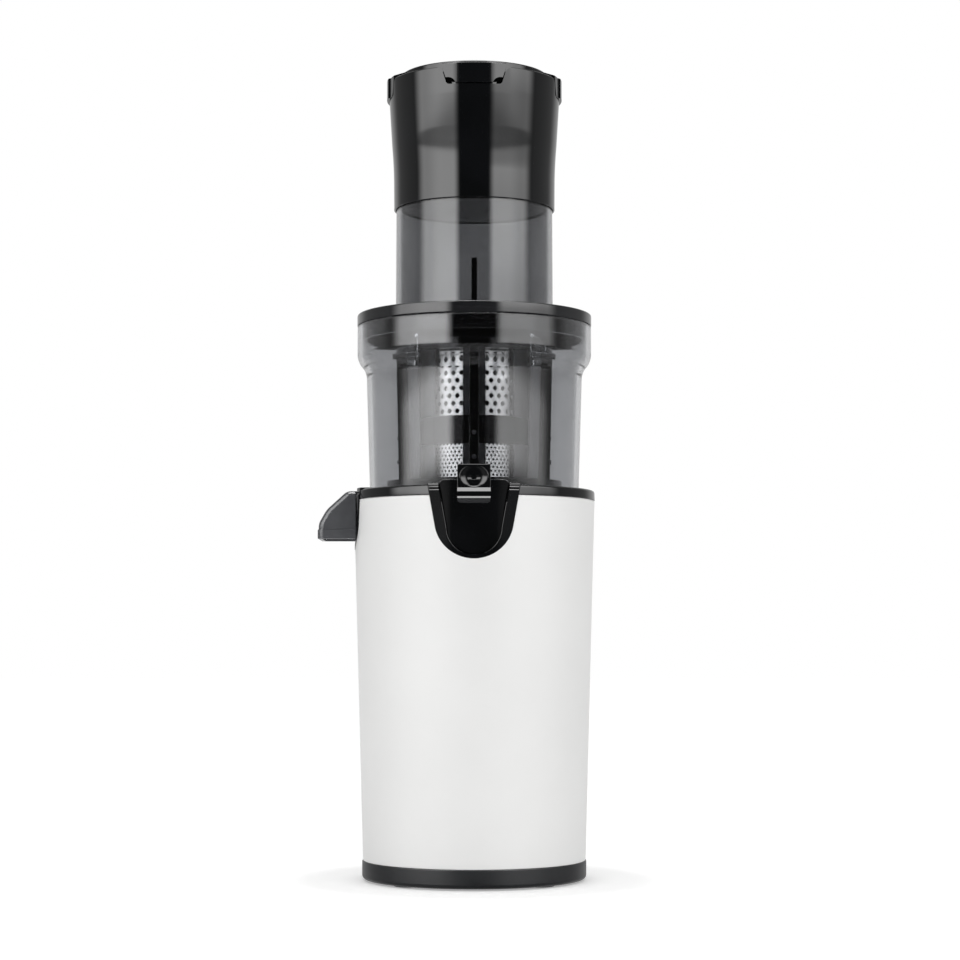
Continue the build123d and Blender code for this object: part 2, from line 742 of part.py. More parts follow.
def gearbox_case():
    case = case_ears(CASE_TOP - CASE_FLOOR, CASE_TOP, SCREW_RADIUS + 0.2)
    case += rod(CASE_RADIUS, CASE_BASE, CASE_TOP)
    case -= rod(CASE_RADIUS - CASE_WALL, CASE_BASE + CASE_FLOOR, CASE_TOP + 1)
    case -= rod(MOTOR_SHAFT + 1.5, CASE_BASE - 1, CASE_BASE + CASE_FLOOR + 1)
    for hole in axle_holes(CASE_BASE + CASE_FLOOR - 2 - GAP, CASE_BASE + CASE_FLOOR + 1):
        case -= hole
    return case


def gearbox_cover():
    cover = case_ears(CASE_TOP, COVER_TOP, SCREW_RADIUS + 0.2)
    cover += rod(CASE_RADIUS, CASE_TOP, COVER_TOP)
    cover += rod(OUTPUT_BEARING + 3, COVER_TOP, CASE_TOP + OUTPUT_BEARING_HEIGHT + 4)
    cover -= rod(OUTPUT_BEARING, CASE_TOP - 1, CASE_TOP + OUTPUT_BEARING_HEIGHT)
    cover -= rod(OUTPUT_SHAFT + 1, CASE_TOP, CASE_TOP + OUTPUT_BEARING_HEIGHT + 5)
    for hole in axle_holes(CASE_TOP - 1, CASE_TOP + 2 + GAP):
        cover -= hole
    return cover


def gearbox_screws():
    head = CASE_TOP - CASE_FLOOR
    length = min(CASE_SCREW_LENGTH, 2 * CASE_FLOOR + 14)
    screw = rod(SCREW_HEAD, head - 2.4, head) + rod(SCREW_RADIUS, head, head + length)
    return [place(azimuth, CASE_EAR) * screw for azimuth in EARS]


def output_bearing():
    return tube(OUTPUT_BEARING, OUTPUT_SHAFT + RUN, CASE_TOP, CASE_TOP + OUTPUT_BEARING_HEIGHT)


def output_gear():
    low = GEAR_BASE + 2 * GEAR_STEP
    wheel = gear(WHEEL_TEETH, GEAR_MODULE, PHASE_OUT, low, low + GEAR_FACE)
    return wheel - rod(OUTPUT_SHAFT, low - 1, low + GEAR_FACE + 1)


def drive_shaft():
    low = GEAR_BASE + 2 * GEAR_STEP
    shaft = rod(OUTPUT_SHAFT, low, WELL)
    hexagon = RegularPolygon(HEX_FLATS / 2, 6, major_radius=False)
    return shaft + upright(hexagon, WELL, WELL + HEX_RISE)


# ---- Bowl ----
def bowl_form(inset, low):
    """Filled form of the bowl: tapered wall, S-shaped shoulder and straight band."""
    lean = (BOWL_NECK_RADIUS - BOWL_FOOT_RADIUS) / BOWL_NECK_RISE
    foot = BOWL_FOOT_RADIUS + lean * (low - BOWL_BASE) - inset
    top = BOWL_TOP + (1 if inset else 0)
    return turned(
        (0, low),
        (foot, low),
        (BOWL_NECK_RADIUS - inset, BOWL_BASE + BOWL_NECK_RISE, 5.0),
        (BOWL_BAND_RADIUS - inset, BOWL_BASE + BOWL_BAND_RISE, 3.5),
        (BOWL_BAND_RADIUS - inset, top),
        (0, top),
    )


def nozzle_rod(radius, near, far):
    return frontward(Pos(0, NOZZLE_LEVEL) * Circle(radius), near, far)


def hinge_rod(radius, half):
    return Pos(0, -hinge_reach(), NOZZLE_LEVEL + HINGE_RISE) * Rot(0, 90, 0) * Cylinder(radius, 2 * half)


def hinge_reach():
    return NOZZLE_REACH + HINGE_RADIUS


def hinge_ears():
    """Two ears on the nozzle's end that carry the cap's pin."""
    ears = hinge_rod(HINGE_RADIUS, HINGE_HALF + GAP + 1.8)
    level = NOZZLE_LEVEL + HINGE_RISE
    half = HINGE_HALF + GAP + 1.8
    root = -NOZZLE_REACH + 5
    ears += block((-half, half), (-hinge_reach(), root), (level - HINGE_RADIUS, level + HINGE_RADIUS))
    ears += block((-half, half), (-NOZZLE_REACH, root), (NOZZLE_LEVEL - 1, level))
    slot = HINGE_HALF + GAP
    ears -= block((-slot, slot), (-hinge_reach() - 5, root + 4), (level - 9, level + 9))
    return ears - hinge_rod(HINGE_PIN, half + 1)


def bowl():
    """Wall of the bowl with its bayonet ledges; juice leaves through the hole at the front."""
    body = bowl_form(0, BOWL_BASE) - bowl_form(BOWL_WALL, BOWL_BASE - 1)
    body -= nozzle_rod(NOZZLE_BORE, BOWL_FOOT_RADIUS - 9, BOWL_FOOT_RADIUS + 4)
    ledge_low = ledge_level()
    rim = BOWL_BAND_RADIUS - BOWL_WALL / 2
    ledges = tube(rim, hook_radius() + GAP, ledge_low, ledge_low + 2.5)
    for azimuth in HOOKS:
        body += ledges & sector(80, azimuth, LEDGE_WIDTH, ledge_low - 1, ledge_low + 4)
    return body


def bowl_floor():
    """Floor inside the wall: boss, strainer seats, brush track, idler pin and pulp hole."""
    body = bowl_form(BOWL_WALL, BOWL_BASE) & rod(BOWL_BAND_RADIUS, BOWL_BASE, BOWL_INSIDE)
    body += rod(BOSS_RADIUS, BOWL_BASE, SEAT_LEVEL)
    body -= rod(BOSS_BORE, BOWL_BASE - 1, SEAT_LEVEL + 1)
    body += place(IDLER_AZIMUTH, IDLER_DISTANCE) * rod(IDLER_PIN, BOWL_BASE + 1, SUN_LEVEL + BOWL_GEAR_FACE)
    body += tube(45, 42, BOWL_BASE + 1, SUN_LEVEL - GAP)
    seat = tube(31, 27, BOWL_BASE + 1, SEAT_LEVEL)
    for azimuth in (270, 0, 125):
        body += seat & sector(40, azimuth, 26, BOWL_BASE, SEAT_LEVEL + 1)
    return body - block(PULP_HOLE, (-PULP_HOLE_HALF, PULP_HOLE_HALF), (BOWL_BASE - 1, BOWL_INSIDE + 1))


def juice_outlet():
    """Nozzle on the bowl's wall, with the ears of the cap's hinge."""
    body = nozzle_rod(NOZZLE_RADIUS, BOWL_FOOT_RADIUS - 3, NOZZLE_REACH) + hinge_ears()
    body -= bowl_form(0, BOWL_BASE)
    return body - nozzle_rod(NOZZLE_BORE, BOWL_FOOT_RADIUS - 9, NOZZLE_REACH + 1)


def hook_radius():
    return BOWL_NECK_RADIUS - BOWL_WALL - 0.6


def ledge_level():
    return BOWL_BASE + BOWL_BAND_RISE - 0.5


def bowl_seal():
    return tube(BOSS_BORE, OUTPUT_SHAFT + 0.5, BOWL_BASE + 1, BOWL_BASE + 6)


def spout_shield():
    """Black plate under the juice nozzle that fills the front saddle."""
    depth = JUICE_SADDLE_DEPTH
    low = DECK_TOP - depth - 1
    high = DECK_TOP + SHIELD_RISE
    face = saddle_outline(SADDLE_BAND + SLIDE, SADDLE_SILL + SLIDE, depth)
    half = SADDLE_HALF - SADDLE_BAND - SLIDE
    top = outline((-half - 9, low), (half + 9, low), (half + 9, high), (-half - 9, high))
    face = face & top
    face = fillet(face.vertices().group_by(Axis.Y)[-1], SHIELD_CORNER)
    plate = frontward(face, BACK_RADIUS, RIM_RADIUS + 2)
    plate &= housing_cone(-SHIELD_INSET, low, high + 1)
    plate -= housing_cone(-SHIELD_INSET - SHIELD_THICKNESS, low - 1, high + 2)
    rib_far = housing_radius(WELL) - SHIELD_INSET - SHIELD_THICKNESS / 2
    for side in (-1, 1):
        x = side * 9.5
        plate += block((x - 1.2, x + 1.2), (-rib_far, -BOWL_FOOT_RADIUS + 4), (WELL + 0.5, DECK_TOP - 1))
    plate -= bowl_form(0, BOWL_BASE)
    return plate - nozzle_rod(NOZZLE_RADIUS + GAP, 30, RIM_RADIUS + 9)


def cap_pin():
    return hinge_rod(HINGE_PIN, HINGE_HALF + GAP + 1.8)


def juice_cap():
    back = hinge_reach() + HINGE_RADIUS + GAP
    front = back + CAP_THICKNESS
    z = NOZZLE_LEVEL
    side = outline(
        (-back, z + CAP_TOP, 0.6),
        (-front + 0.5, z + CAP_TOP, 0.8),
        (-front, z - CAP_LEDGE),
        (-front - CAP_LIP_REACH, z - CAP_FOOT + CAP_LIP, 0.6),
        (-front - CAP_LIP_REACH, z - CAP_FOOT, 0.9),
        (-back - 1.5, z - CAP_FOOT),
        (-back, z - CAP_FOOT + 3),
    )
    cap = sideward(side, CAP_WIDTH / 2)
    upright_edges = cap.edges().filter_by(GeomType.LINE).filter_by(Axis.Z)
    cap = fillet(upright_edges.sort_by(Axis.Y)[:2], 0.8)
    ball = CAP_DISH**2 / (2 * CAP_DISH_DEPTH) + CAP_DISH_DEPTH / 2
    cap -= Pos(0, -front - ball + CAP_DISH_DEPTH, z + 1.4) * Sphere(ball)
    level = z + HINGE_RISE
    cap += hinge_rod(HINGE_RADIUS, HINGE_HALF)
    web = (level - HINGE_RADIUS * 0.8, level + HINGE_RADIUS * 0.85)
    cap += block((-HINGE_HALF, HINGE_HALF), (-back - 1, -hinge_reach()), web)
    return cap - hinge_rod(HINGE_PIN + RUN, HINGE_HALF + 1)


def cap_seal():
    back = hinge_reach() + HINGE_RADIUS + GAP
    seal = nozzle_rod(NOZZLE_RADIUS - 0.8, NOZZLE_REACH + GAP, back)
    seal += nozzle_rod(NOZZLE_BORE - 0.6, NOZZLE_REACH - 1.5, NOZZLE_REACH + GAP)
    level = NOZZLE_LEVEL + HINGE_RISE - HINGE_RADIUS - 0.2
    return seal - block((-9, 9), (-90, -50), (level, level + 9))


# ---- Pulp spout ----
def spout_form(inset, extra):
    """Hooded outlet, sloped in (x, z) and rounded in plan; extra lengthens it downwards."""
    foot = BOWL_BASE - SPOUT_FOOT
    head = BOWL_BASE + SPOUT_HEAD
    near = spout_near()
    side = outline(
        (-near, foot),
        (-SPOUT_REACH, foot),
        (-SPOUT_REACH, head - SPOUT_DROP, 5.0),
        (-SPOUT_SHOULDER, head - 0.8, 4.0),
        (-near, head),
    )
    if inset:
        side = offset(side, -inset)
        side += Pos(-(near + SPOUT_REACH) / 2, foot) * Rectangle(
            SPOUT_REACH - near - 2 * inset, 2 * (inset + extra)
        )
    hood = extrude(Plane.XZ * side, SPOUT_HALF + 1, both=True)
    half = SPOUT_HALF - inset
    corner = SPOUT_CORNER - inset
    far = -SPOUT_REACH + inset
    plan = outline((far, -half, corner), (-near, -half), (-near, half), (far, half, corner))
    return hood & upright(plan, foot - extra - 1, head + 1)


def spout_near():
    """Distance of the hood's inner side from the axis."""
    return housing_radius(WELL) + 1.2


def spout_neck(inset):
    """Stretch of the spout that passes through its saddle."""
    face = saddle_outline(SADDLE_BAND + SLIDE + inset, SADDLE_SILL + SLIDE, PULP_SADDLE_DEPTH)
    low = BOWL_BASE - SPOUT_FOOT + inset
    high = BOWL_BASE + SPOUT_HEAD - inset
    limit = outline((-40, low), (40, low), (40, high), (-40, high))
    return to_left(frontward(face & limit, BACK_RADIUS + SLIDE + inset, housing_radius(WELL) + 3 + inset))


def pulp_spout():
    foot = BOWL_BASE - SPOUT_FOOT
    lip = SPOUT_LIP + SPOUT_HALF
    spout = spout_form(0, 0) + spout_neck(0)
    band = outline(
        (-SPOUT_REACH - SPOUT_LIP, -lip, SPOUT_CORNER),
        (-spout_near(), -lip, 1),
        (-spout_near(), lip, 1),
        (-SPOUT_REACH - SPOUT_LIP, lip, SPOUT_CORNER),
    )
    spout += upright(band, foot, foot + SPOUT_LIP_HEIGHT)
    far = BACK_RADIUS + SLIDE + 2
    trough_low = BOWL_BASE - TROUGH_DEPTH
    spout += block((-far, -16.5), (-TROUGH_HALF, TROUGH_HALF), (trough_low, BOWL_BASE))
    spout -= spout_form(SPOUT_WALL, 2)
    spout -= spout_neck(SPOUT_WALL) & block((-120, 0), (-60, 60), (foot + SPOUT_WALL, DECK_TOP))
    spout -= block(
        (-housing_radius(WELL) - 5, -18.5),
        (-TROUGH_HALF + SPOUT_WALL, TROUGH_HALF - SPOUT_WALL),
        (trough_low + SPOUT_WALL, BOWL_BASE - 2.0),
    )
    mouth = (trough_low + SPOUT_WALL, BOWL_BASE + 1)
    spout -= block(PULP_HOLE, (-PULP_HOLE_HALF, PULP_HOLE_HALF), mouth)
    spout -= block((-50, -36), (-6, 6), (trough_low - 1, trough_low + SPOUT_WALL + 1))
    return spout - bowl_form(0, BOWL_BASE)


def pulp_plug():
    low = BOWL_BASE - TROUGH_DEPTH
    plug = block((-52, -34), (-8, 8), (low - PLUG_THICKNESS, low))
    return plug + block((-49.8, -36.2), (-5.8, 5.8), (low, low + SPOUT_WALL))


# ---- Strainer ----
def holes(width, low, high, columns, rows, size):
    """Staggered square holes over each window, standing on a corner."""
    reach = SCREEN_BORE + 4
    square = Rot(0, 0, 45) * Rectangle(size / 1.2, size / 1.2)
    cutter = extrude(Plane.YZ * square, reach)
    cuts = []
    for window in range(WINDOWS):
        middle = 45 + 90 * window
        for row in range(rows):
            z = low + (row + 0.5) * (high - low) / rows
            shift = 0.25 if row % 2 else -0.25
            for column in range(columns):
                turn = middle + ((column + 0.5 + shift) / columns - 0.5) * width
                cuts.append(Rot(0, 0, turn) * (Pos(0, 0, z) * cutter))
    return cuts


def screen(low, high, columns, rows, size):
    sleeve = tube(SCREEN_BORE + SCREEN_SHEET, SCREEN_BORE, BOWL_BASE + low - 2, BOWL_BASE + high + 2)
    cuts = holes(WINDOW_ANGLE - 4, BOWL_BASE + low, BOWL_BASE + high, columns, rows, size)
    return sleeve - cuts


def coarse_screen():
    return screen(COARSE_LOW, COARSE_HIGH, COARSE_COLUMNS, COARSE_ROWS, COARSE_HOLE)


def fine_screen():
    return screen(FINE_LOW + 2.0, FINE_HIGH, FINE_COLUMNS, FINE_ROWS, FINE_HOLE)


def strainer_frame():
    top = BOWL_BASE + FRAME_TOP
    inner = SCREEN_BORE + SCREEN_SHEET
    body = tube(FRAME_RADIUS, inner, SEAT_LEVEL, top)
    body += tube(FRAME_RADIUS, SCREEN_BORE, BOWL_BASE + FINE_HIGH + 2, BOWL_BASE + COARSE_LOW - 2)
    body += tube(FRAME_RADIUS + 0.9, inner, BOWL_BASE + FINE_HIGH + 1.5, BOWL_BASE + COARSE_LOW - 1)
    body += tube(FRAME_RADIUS + 0.9, SCREEN_BORE, BOWL_BASE + COARSE_HIGH + 2, top)
    body += tube(SEAT_FLANGE, NECK_RADIUS + 0.6, SEAT_LEVEL, SEAT_LEVEL + SEAT_PLATE)
    body += tube(FRAME_RADIUS, SCREEN_BORE - 0.2, SEAT_LEVEL, BOWL_BASE + FINE_LOW)
    reach = FRAME_RADIUS + 5
    for low, high in ((FINE_LOW, FINE_HIGH), (COARSE_LOW, COARSE_HIGH)):
        for window in range(WINDOWS):
            middle = 45 + 90 * window
            body -= sector(reach, middle, WINDOW_ANGLE, BOWL_BASE + low, BOWL_BASE + high)
    seat = (SEAT_LEVEL - 1, SEAT_LEVEL + SEAT_PLATE + 1)
    body -= block((-SCREEN_BORE + 0.4, -NECK_RADIUS - 1.5), (-PULP_HOLE_HALF, PULP_HOLE_HALF), seat)
    return body


# ---- Brush, idler, auger ----
IDLER_PHASE = mesh_phase(IDLER_AZIMUTH, SUN_TEETH, 0, IDLER_TEETH)
RING_PHASE = ring_phase(IDLER_AZIMUTH, IDLER_TEETH, IDLER_PHASE, RING_TEETH)


def idler_gear():
    wheel = gear(IDLER_TEETH, BOWL_MODULE, IDLER_PHASE, SUN_LEVEL, SUN_LEVEL + BOWL_GEAR_FACE)
    wheel -= rod(IDLER_PIN + RUN, SUN_LEVEL - 1, SUN_LEVEL + BOWL_GEAR_FACE + 1)
    return place(IDLER_AZIMUTH, IDLER_DISTANCE) * wheel


def brush_frame():
    teeth = make_face(Polyline(*tooth_points(RING_TEETH, BOWL_MODULE, inward=True), close=True))
    plate = SUN_LEVEL + BOWL_GEAR_FACE + 0.5
    foot = plate + BRUSH_PLATE
    head = foot + POST_HEIGHT
    body = rod(BRUSH_RING, SUN_LEVEL, plate)
    body -= upright(Rot(0, 0, RING_PHASE) * teeth, SUN_LEVEL - 1, plate + 1)
    body += tube(BRUSH_RING, POST_INNER - 0.6, plate, foot)
    body += tube(POST_OUTER + POST_LEAN, POST_INNER + POST_LEAN, head, head + HOOP_HEIGHT)
    side = outline(
        (POST_INNER, plate),
        (POST_OUTER, plate),
        (POST_OUTER + POST_LEAN - 0.1, head + 1),
        (POST_INNER + POST_LEAN + 0.3, head + 1),
    )
    post = extrude(Plane.XZ * side, POST_WIDTH / 2, both=True)
    for rise in STUD_RISES:
        post -= Pos(30, 0, foot + rise) * Rot(0, 90, 0) * rod(STUD_RADIUS, 0, 20)
    for copy in around(post, [90 * i for i in range(POSTS)]):
        body += copy
    return body


def wiper_blades():
    """Silicone strips on the posts' inner edges, buttoned through the posts."""
    foot = SUN_LEVEL + BOWL_GEAR_FACE + 0.5 + BRUSH_PLATE
    inner = FRAME_RADIUS + 0.9 + GAP
    low = foot + 1
    high = foot + POST_HEIGHT - 2
    lean = POST_LEAN / POST_HEIGHT
    side = outline(
        (inner, low),
        (POST_INNER + lean * (low - foot) - 0.1, low),
        (POST_INNER + lean * (high - foot) - 0.1, high),
        (inner, high),
    )
    blade = extrude(Plane.XZ * side, BLADE_SHEET / 2, both=True)
    for rise in STUD_RISES:
        start = POST_INNER - 1.0
        blade += Pos(start, 0, foot + rise) * Rot(0, 90, 0) * rod(STUD_RADIUS, 0, POST_OUTER + 2.2 - start)
    return around(blade, [90 * i for i in range(POSTS)])


def fin_outline():
    """Feed fin in (y, z), with a rounded tip."""
    z = BOWL_BASE + CORE_HEIGHT
    tip = BOWL_BASE + FIN_TIP
    rear = ThreePointArc((6, z), (-1.5, z + 30), (-12.5, tip - 1.6))
    crown = ThreePointArc((-12.5, tip - 1.6), (-14.2, tip), (-15.9, tip - 1.6))
    front = ThreePointArc((-15.9, tip - 1.6), (-FIN_REACH + 3, z + 30), (-FIN_REACH, z + 6))
    foot = Polyline((-FIN_REACH, z + 6), (-FIN_REACH + 6, z), (6, z))
    return make_face(rear.edges() + crown.edges() + front.edges() + foot.edges())


def auger_core():
    foot = SEAT_LEVEL + SEAT_PLATE + 0.4
    core_top = BOWL_BASE + CORE_HEIGHT
    return turned(
        (0, SUN_LEVEL),
        (NECK_RADIUS - 4.5, SUN_LEVEL),
        (NECK_RADIUS - 4.5, SUN_LEVEL + BOWL_GEAR_FACE),
        (NECK_RADIUS, SUN_LEVEL + BOWL_GEAR_FACE),
        (NECK_RADIUS, foot),
        (CORE_FOOT_RADIUS, foot, 0.8),
        (CORE_TOP_RADIUS, core_top - 2, 6.0),
        (6.0, core_top + CONE_HEIGHT, 2.0),
        (0, core_top + CONE_HEIGHT),
    )


def auger():
    """Screw with its drive gear and hexagonal socket."""
    foot = SEAT_LEVEL + SEAT_PLATE + 0.4
    core_top = BOWL_BASE + CORE_HEIGHT
    inner = CORE_TOP_RADIUS - 2.0
    middle = (inner + FLIGHT_RADIUS) / 2
    path = Helix(FLIGHT_PITCH, core_top - foot - FLIGHT_THICKNESS - 3, middle)
    start = Plane(path @ 0, x_dir=(1, 0, 0), z_dir=path % 0)
    strip = Rectangle(FLIGHT_RADIUS - inner, FLIGHT_THICKNESS)
    flight = Pos(0, 0, foot + FLIGHT_THICKNESS) * sweep(start * strip, path=path, is_frenet=True)
    body = auger_core() + flight
    body += gear(SUN_TEETH, BOWL_MODULE, 0, SUN_LEVEL, SUN_LEVEL + BOWL_GEAR_FACE)
    body -= rod(BOSS_RADIUS + GAP, SUN_LEVEL - 1, SEAT_LEVEL + GAP)
    socket = RegularPolygon(HEX_FLATS / 2 + 0.2, 6, major_radius=False)
    return body - upright(socket, SEAT_LEVEL - 1, WELL + HEX_RISE + 1)


def feed_fin():
    """Tall fin on the auger's head that draws produce down into the flight."""
    return sideward(fin_outline(), FIN_THICKNESS / 2) - auger_core()


# ---- Hopper ----
def hopper():
    """Lid of the bowl: rim, plate, funnel into the strainer and four bayonet hooks."""
    spigot = BOWL_BAND_RADIUS - BOWL_WALL - 0.4
    throat = BOWL_BASE + FRAME_TOP + GAP
    body = turned(
        (CHUTE_BORE, LID_TOP),
        (LID_RADIUS, LID_TOP, LID_EDGE),
        (LID_RADIUS, LID_BASE),
        (spigot, LID_BASE),
        (spigot, LID_BASE - SPIGOT_DEPTH),
        (spigot - SPIGOT_WALL, LID_BASE - SPIGOT_DEPTH),
        (spigot - SPIGOT_WALL, LID_TOP - LID_PLATE),
        (CHUTE_BORE + CHUTE_WALL + 2, LID_TOP - LID_PLATE),
        (FUNNEL_MOUTH + 2.4, throat),
        (FUNNEL_MOUTH, throat),
        (FUNNEL_MOUTH, throat + 1.5),
        (CHUTE_BORE, LID_TOP - 1),
    )
    low = LID_BASE - HOOK_DROP
    leg = hook_radius()
    hook = tube(leg, leg - 2.4, low, LID_BASE - SPIGOT_DEPTH + 2)
    hook += tube(spigot, leg - 2.4, LID_BASE - SPIGOT_DEPTH - 2, LID_BASE - SPIGOT_DEPTH + 2)
    hook += tube(leg + 1.2, leg - 2.4, low, ledge_level() - 0.8)
    for azimuth in HOOKS:
        body += hook & sector(80, azimuth, HOOK_WIDTH, low - 1, LID_TOP)
    return body


def feed_chute():
    """Wide tube welded on the lid, with a root radius."""
    wall = CHUTE_BORE + CHUTE_WALL
    root = CHUTE_DRAFT + 0.8
    return turned(
        (CHUTE_BORE, LID_TOP),
        (wall + root, LID_TOP),
        (wall + CHUTE_DRAFT, LID_TOP + root, 1.2),
        (wall, CHUTE_TOP),
        (CHUTE_BORE, CHUTE_TOP),
    )


def notch_outline():
    """Notch in (x, z), open at the top, with a rounded foot and flared shoulders."""
    side = COLLAR_TOP - NOTCH_SHOULDER
    mouth = NOTCH_TOP_HALF + NOTCH_SHOULDER
    above = COLLAR_TOP + 12
    return outline(
        (-NOTCH_FOOT_HALF, NOTCH_FLOOR, NOTCH_CORNER),
        (NOTCH_FOOT_HALF, NOTCH_FLOOR, NOTCH_CORNER),
        (NOTCH_TOP_HALF, side),
        (mouth, COLLAR_TOP),
        (mouth, above),
        (-mouth, above),
        (-mouth, COLLAR_TOP),
        (-NOTCH_TOP_HALF, side),
    )


def chute_collar():
    """Flared ring that laps the chute's end and carries the pusher in four notches."""
    flare = COLLAR_FOOT + COLLAR_STRAIGHT
    shoulder = flare + COLLAR_FLARE
    lap = CHUTE_BORE + CHUTE_WALL + GAP
    body = turned(
        (COLLAR_FOOT_RADIUS, COLLAR_FOOT),
        (COLLAR_WAIST_RADIUS, flare, 80.0),
        (COLLAR_SHOULDER_RADIUS, shoulder, 120.0),
        (COLLAR_TOP_RADIUS, COLLAR_TOP, 0.8),
        (COLLAR_TOP_RADIUS - COLLAR_WALL, COLLAR_TOP, 0.6),
        (COLLAR_SHOULDER_RADIUS - COLLAR_WALL, shoulder, 100.0),
        (COLLAR_WAIST_RADIUS - COLLAR_WALL, flare, 60.0),
        (CHUTE_BORE + 0.3, CHUTE_TOP + 3),
        (CHUTE_BORE + 0.3, CHUTE_TOP),
        (lap, CHUTE_TOP),
        (lap, COLLAR_FOOT),
    )
    notch = frontward(notch_outline(), 30, 60)
    for cut in around(notch, [90 * i for i in range(4)]):
        body -= cut
    return body


def lip_outline():
    """Front of one lip: narrow foot with swept corners, wider above."""
    low = NOTCH_FLOOR + GAP
    foot = LIP_FOOT_HALF
    wide = NOTCH_FOOT_HALF - 0.5
    sweep_top = low + 3.6
    left = ThreePointArc((-foot, low), (-foot - 3.6, low + 1.1), (-wide, sweep_top))
    right = ThreePointArc((wide, sweep_top), (foot + 3.6, low + 1.1), (foot, low))
    upper = Polyline(
        (-wide, sweep_top),
        (-NOTCH_TOP_HALF + 0.6, COLLAR_TOP - NOTCH_SHOULDER),
        (-NOTCH_TOP_HALF + 0.6, PUSHER_TOP + 2),
        (NOTCH_TOP_HALF - 0.6, PUSHER_TOP + 2),
        (NOTCH_TOP_HALF - 0.6, COLLAR_TOP - NOTCH_SHOULDER),
        (wide, sweep_top),
    )
    base = Line((foot, low), (-foot, low))
    return make_face(left.edges() + upper.edges() + right.edges() + base.edges())


def pusher():
    """Open cup that hangs in the collar by four flared lips."""
    slope = (PUSHER_TOP_RADIUS - PUSHER_FOOT_RADIUS) / (PUSHER_TOP - COLLAR_FOOT)
    inner_top = PUSHER_TOP_RADIUS - PUSHER_WALL
    inner_foot = PUSHER_FOOT_RADIUS - PUSHER_WALL + slope * PUSHER_WALL
    cup = turned(
        (0, COLLAR_FOOT),
        (PUSHER_FOOT_RADIUS, COLLAR_FOOT, 1.0),
        (PUSHER_TOP_RADIUS, PUSHER_TOP, 0.8),
        (inner_top, PUSHER_TOP, 0.8),
        (inner_foot, COLLAR_FOOT + PUSHER_WALL, 3.0),
        (0, COLLAR_FOOT + PUSHER_WALL),
    )
    low = NOTCH_FLOOR + GAP
    shoulder = COLLAR_TOP + 1.0
    skirt = turned(
        (PUSHER_TOP_RADIUS - 1.5, PUSHER_TOP - 1.0),
        (PUSHER_TOP_RADIUS - 0.2, PUSHER_TOP - 1.0),
        (LIP_RADIUS, shoulder - 1.5, 3.0),
        (LIP_RADIUS, low, 0.6),
        (LIP_RADIUS - LIP_THICKNESS, low, 0.6),
        (LIP_RADIUS - LIP_THICKNESS, shoulder - 5, 1.5),
        (PUSHER_TOP_RADIUS - 1.5, shoulder - 1.5),
    )
    lip = skirt & frontward(lip_outline(), 30, 60)
    for copy in around(lip, [90 * i for i in range(4)]):
        cup += copy
    return cup


# ---- Write every piece ----
PIECES = {
    "bottom_tray": bottom_tray,
    "housing": housing,
    "deck": deck,
    "cord_gland": cord_gland,
    "switch_bezel": switch_bezel,
    "rocker": rocker,
    "control_board": control_board,
    "safety_switch": safety_switch,
    "tray_screws": tray_screws,
    "motor_cushion": motor_cushion,
    "motor_can": motor_can,
    "motor_magnets": motor_magnets,
    "motor_end_cap": motor_end_cap,
    "motor_armature": motor_armature,
    "motor_windings": motor_windings,
    "motor_fan": motor_fan,
    "gearbox_case": gearbox_case,
    "gearbox_cover": gearbox_cover,
    "gearbox_screws": gearbox_screws,
    "output_bearing": output_bearing,
    "output_gear": output_gear,
    "drive_shaft": drive_shaft,
    "shaft_seal": shaft_seal,
    "bowl": bowl,
    "bowl_floor": bowl_floor,
    "juice_outlet": juice_outlet,
    "bowl_seal": bowl_seal,
    "spout_shield": spout_shield,
    "cap_pin": cap_pin,
    "juice_cap": juice_cap,
    "cap_seal": cap_seal,
    "pulp_spout": pulp_spout,
    "pulp_plug": pulp_plug,
    "strainer_frame": strainer_frame,
    "coarse_screen": coarse_screen,
    "fine_screen": fine_screen,
    "idler_gear": idler_gear,
    "brush_frame": brush_frame,
    "wiper_blades": wiper_blades,
    "auger": auger,
    "feed_fin": feed_fin,
    "hopper": hopper,
    "feed_chute": feed_chute,
    "chute_collar": chute_collar,
    "pusher": pusher,
}

os.makedirs("parts", exist_ok=True)
solids = {name: make() for name, make in PIECES.items()}
for number, azimuth in enumerate(EARS, start=1):
    solids[f"foot_{number}"] = foot(azimuth)
solids["gear_cluster_a"] = place(AXLE_A, AXLE_DISTANCE) * cluster(PHASE_A, 0)
solids["gear_cluster_b"] = place(AXLE_B, AXLE_DISTANCE) * cluster(PHASE_B, 1)
solids["motor_bearing_lower"] = motor_bearing(MOTOR_BASE)
solids["motor_bearing_upper"] = motor_bearing(MOTOR_TOP)
for name, shape in solids.items():
    shape = Compound(children=shape) if isinstance(shape, list) else shape
    export_step(shape, f"parts/{name}.step")
    print(name, round(shape.volume, 1))
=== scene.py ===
import bmesh
import bpy
import json
from math import atan2, cos, pi, radians, sin, sqrt, tan
from mathutils import Euler, Matrix, Vector

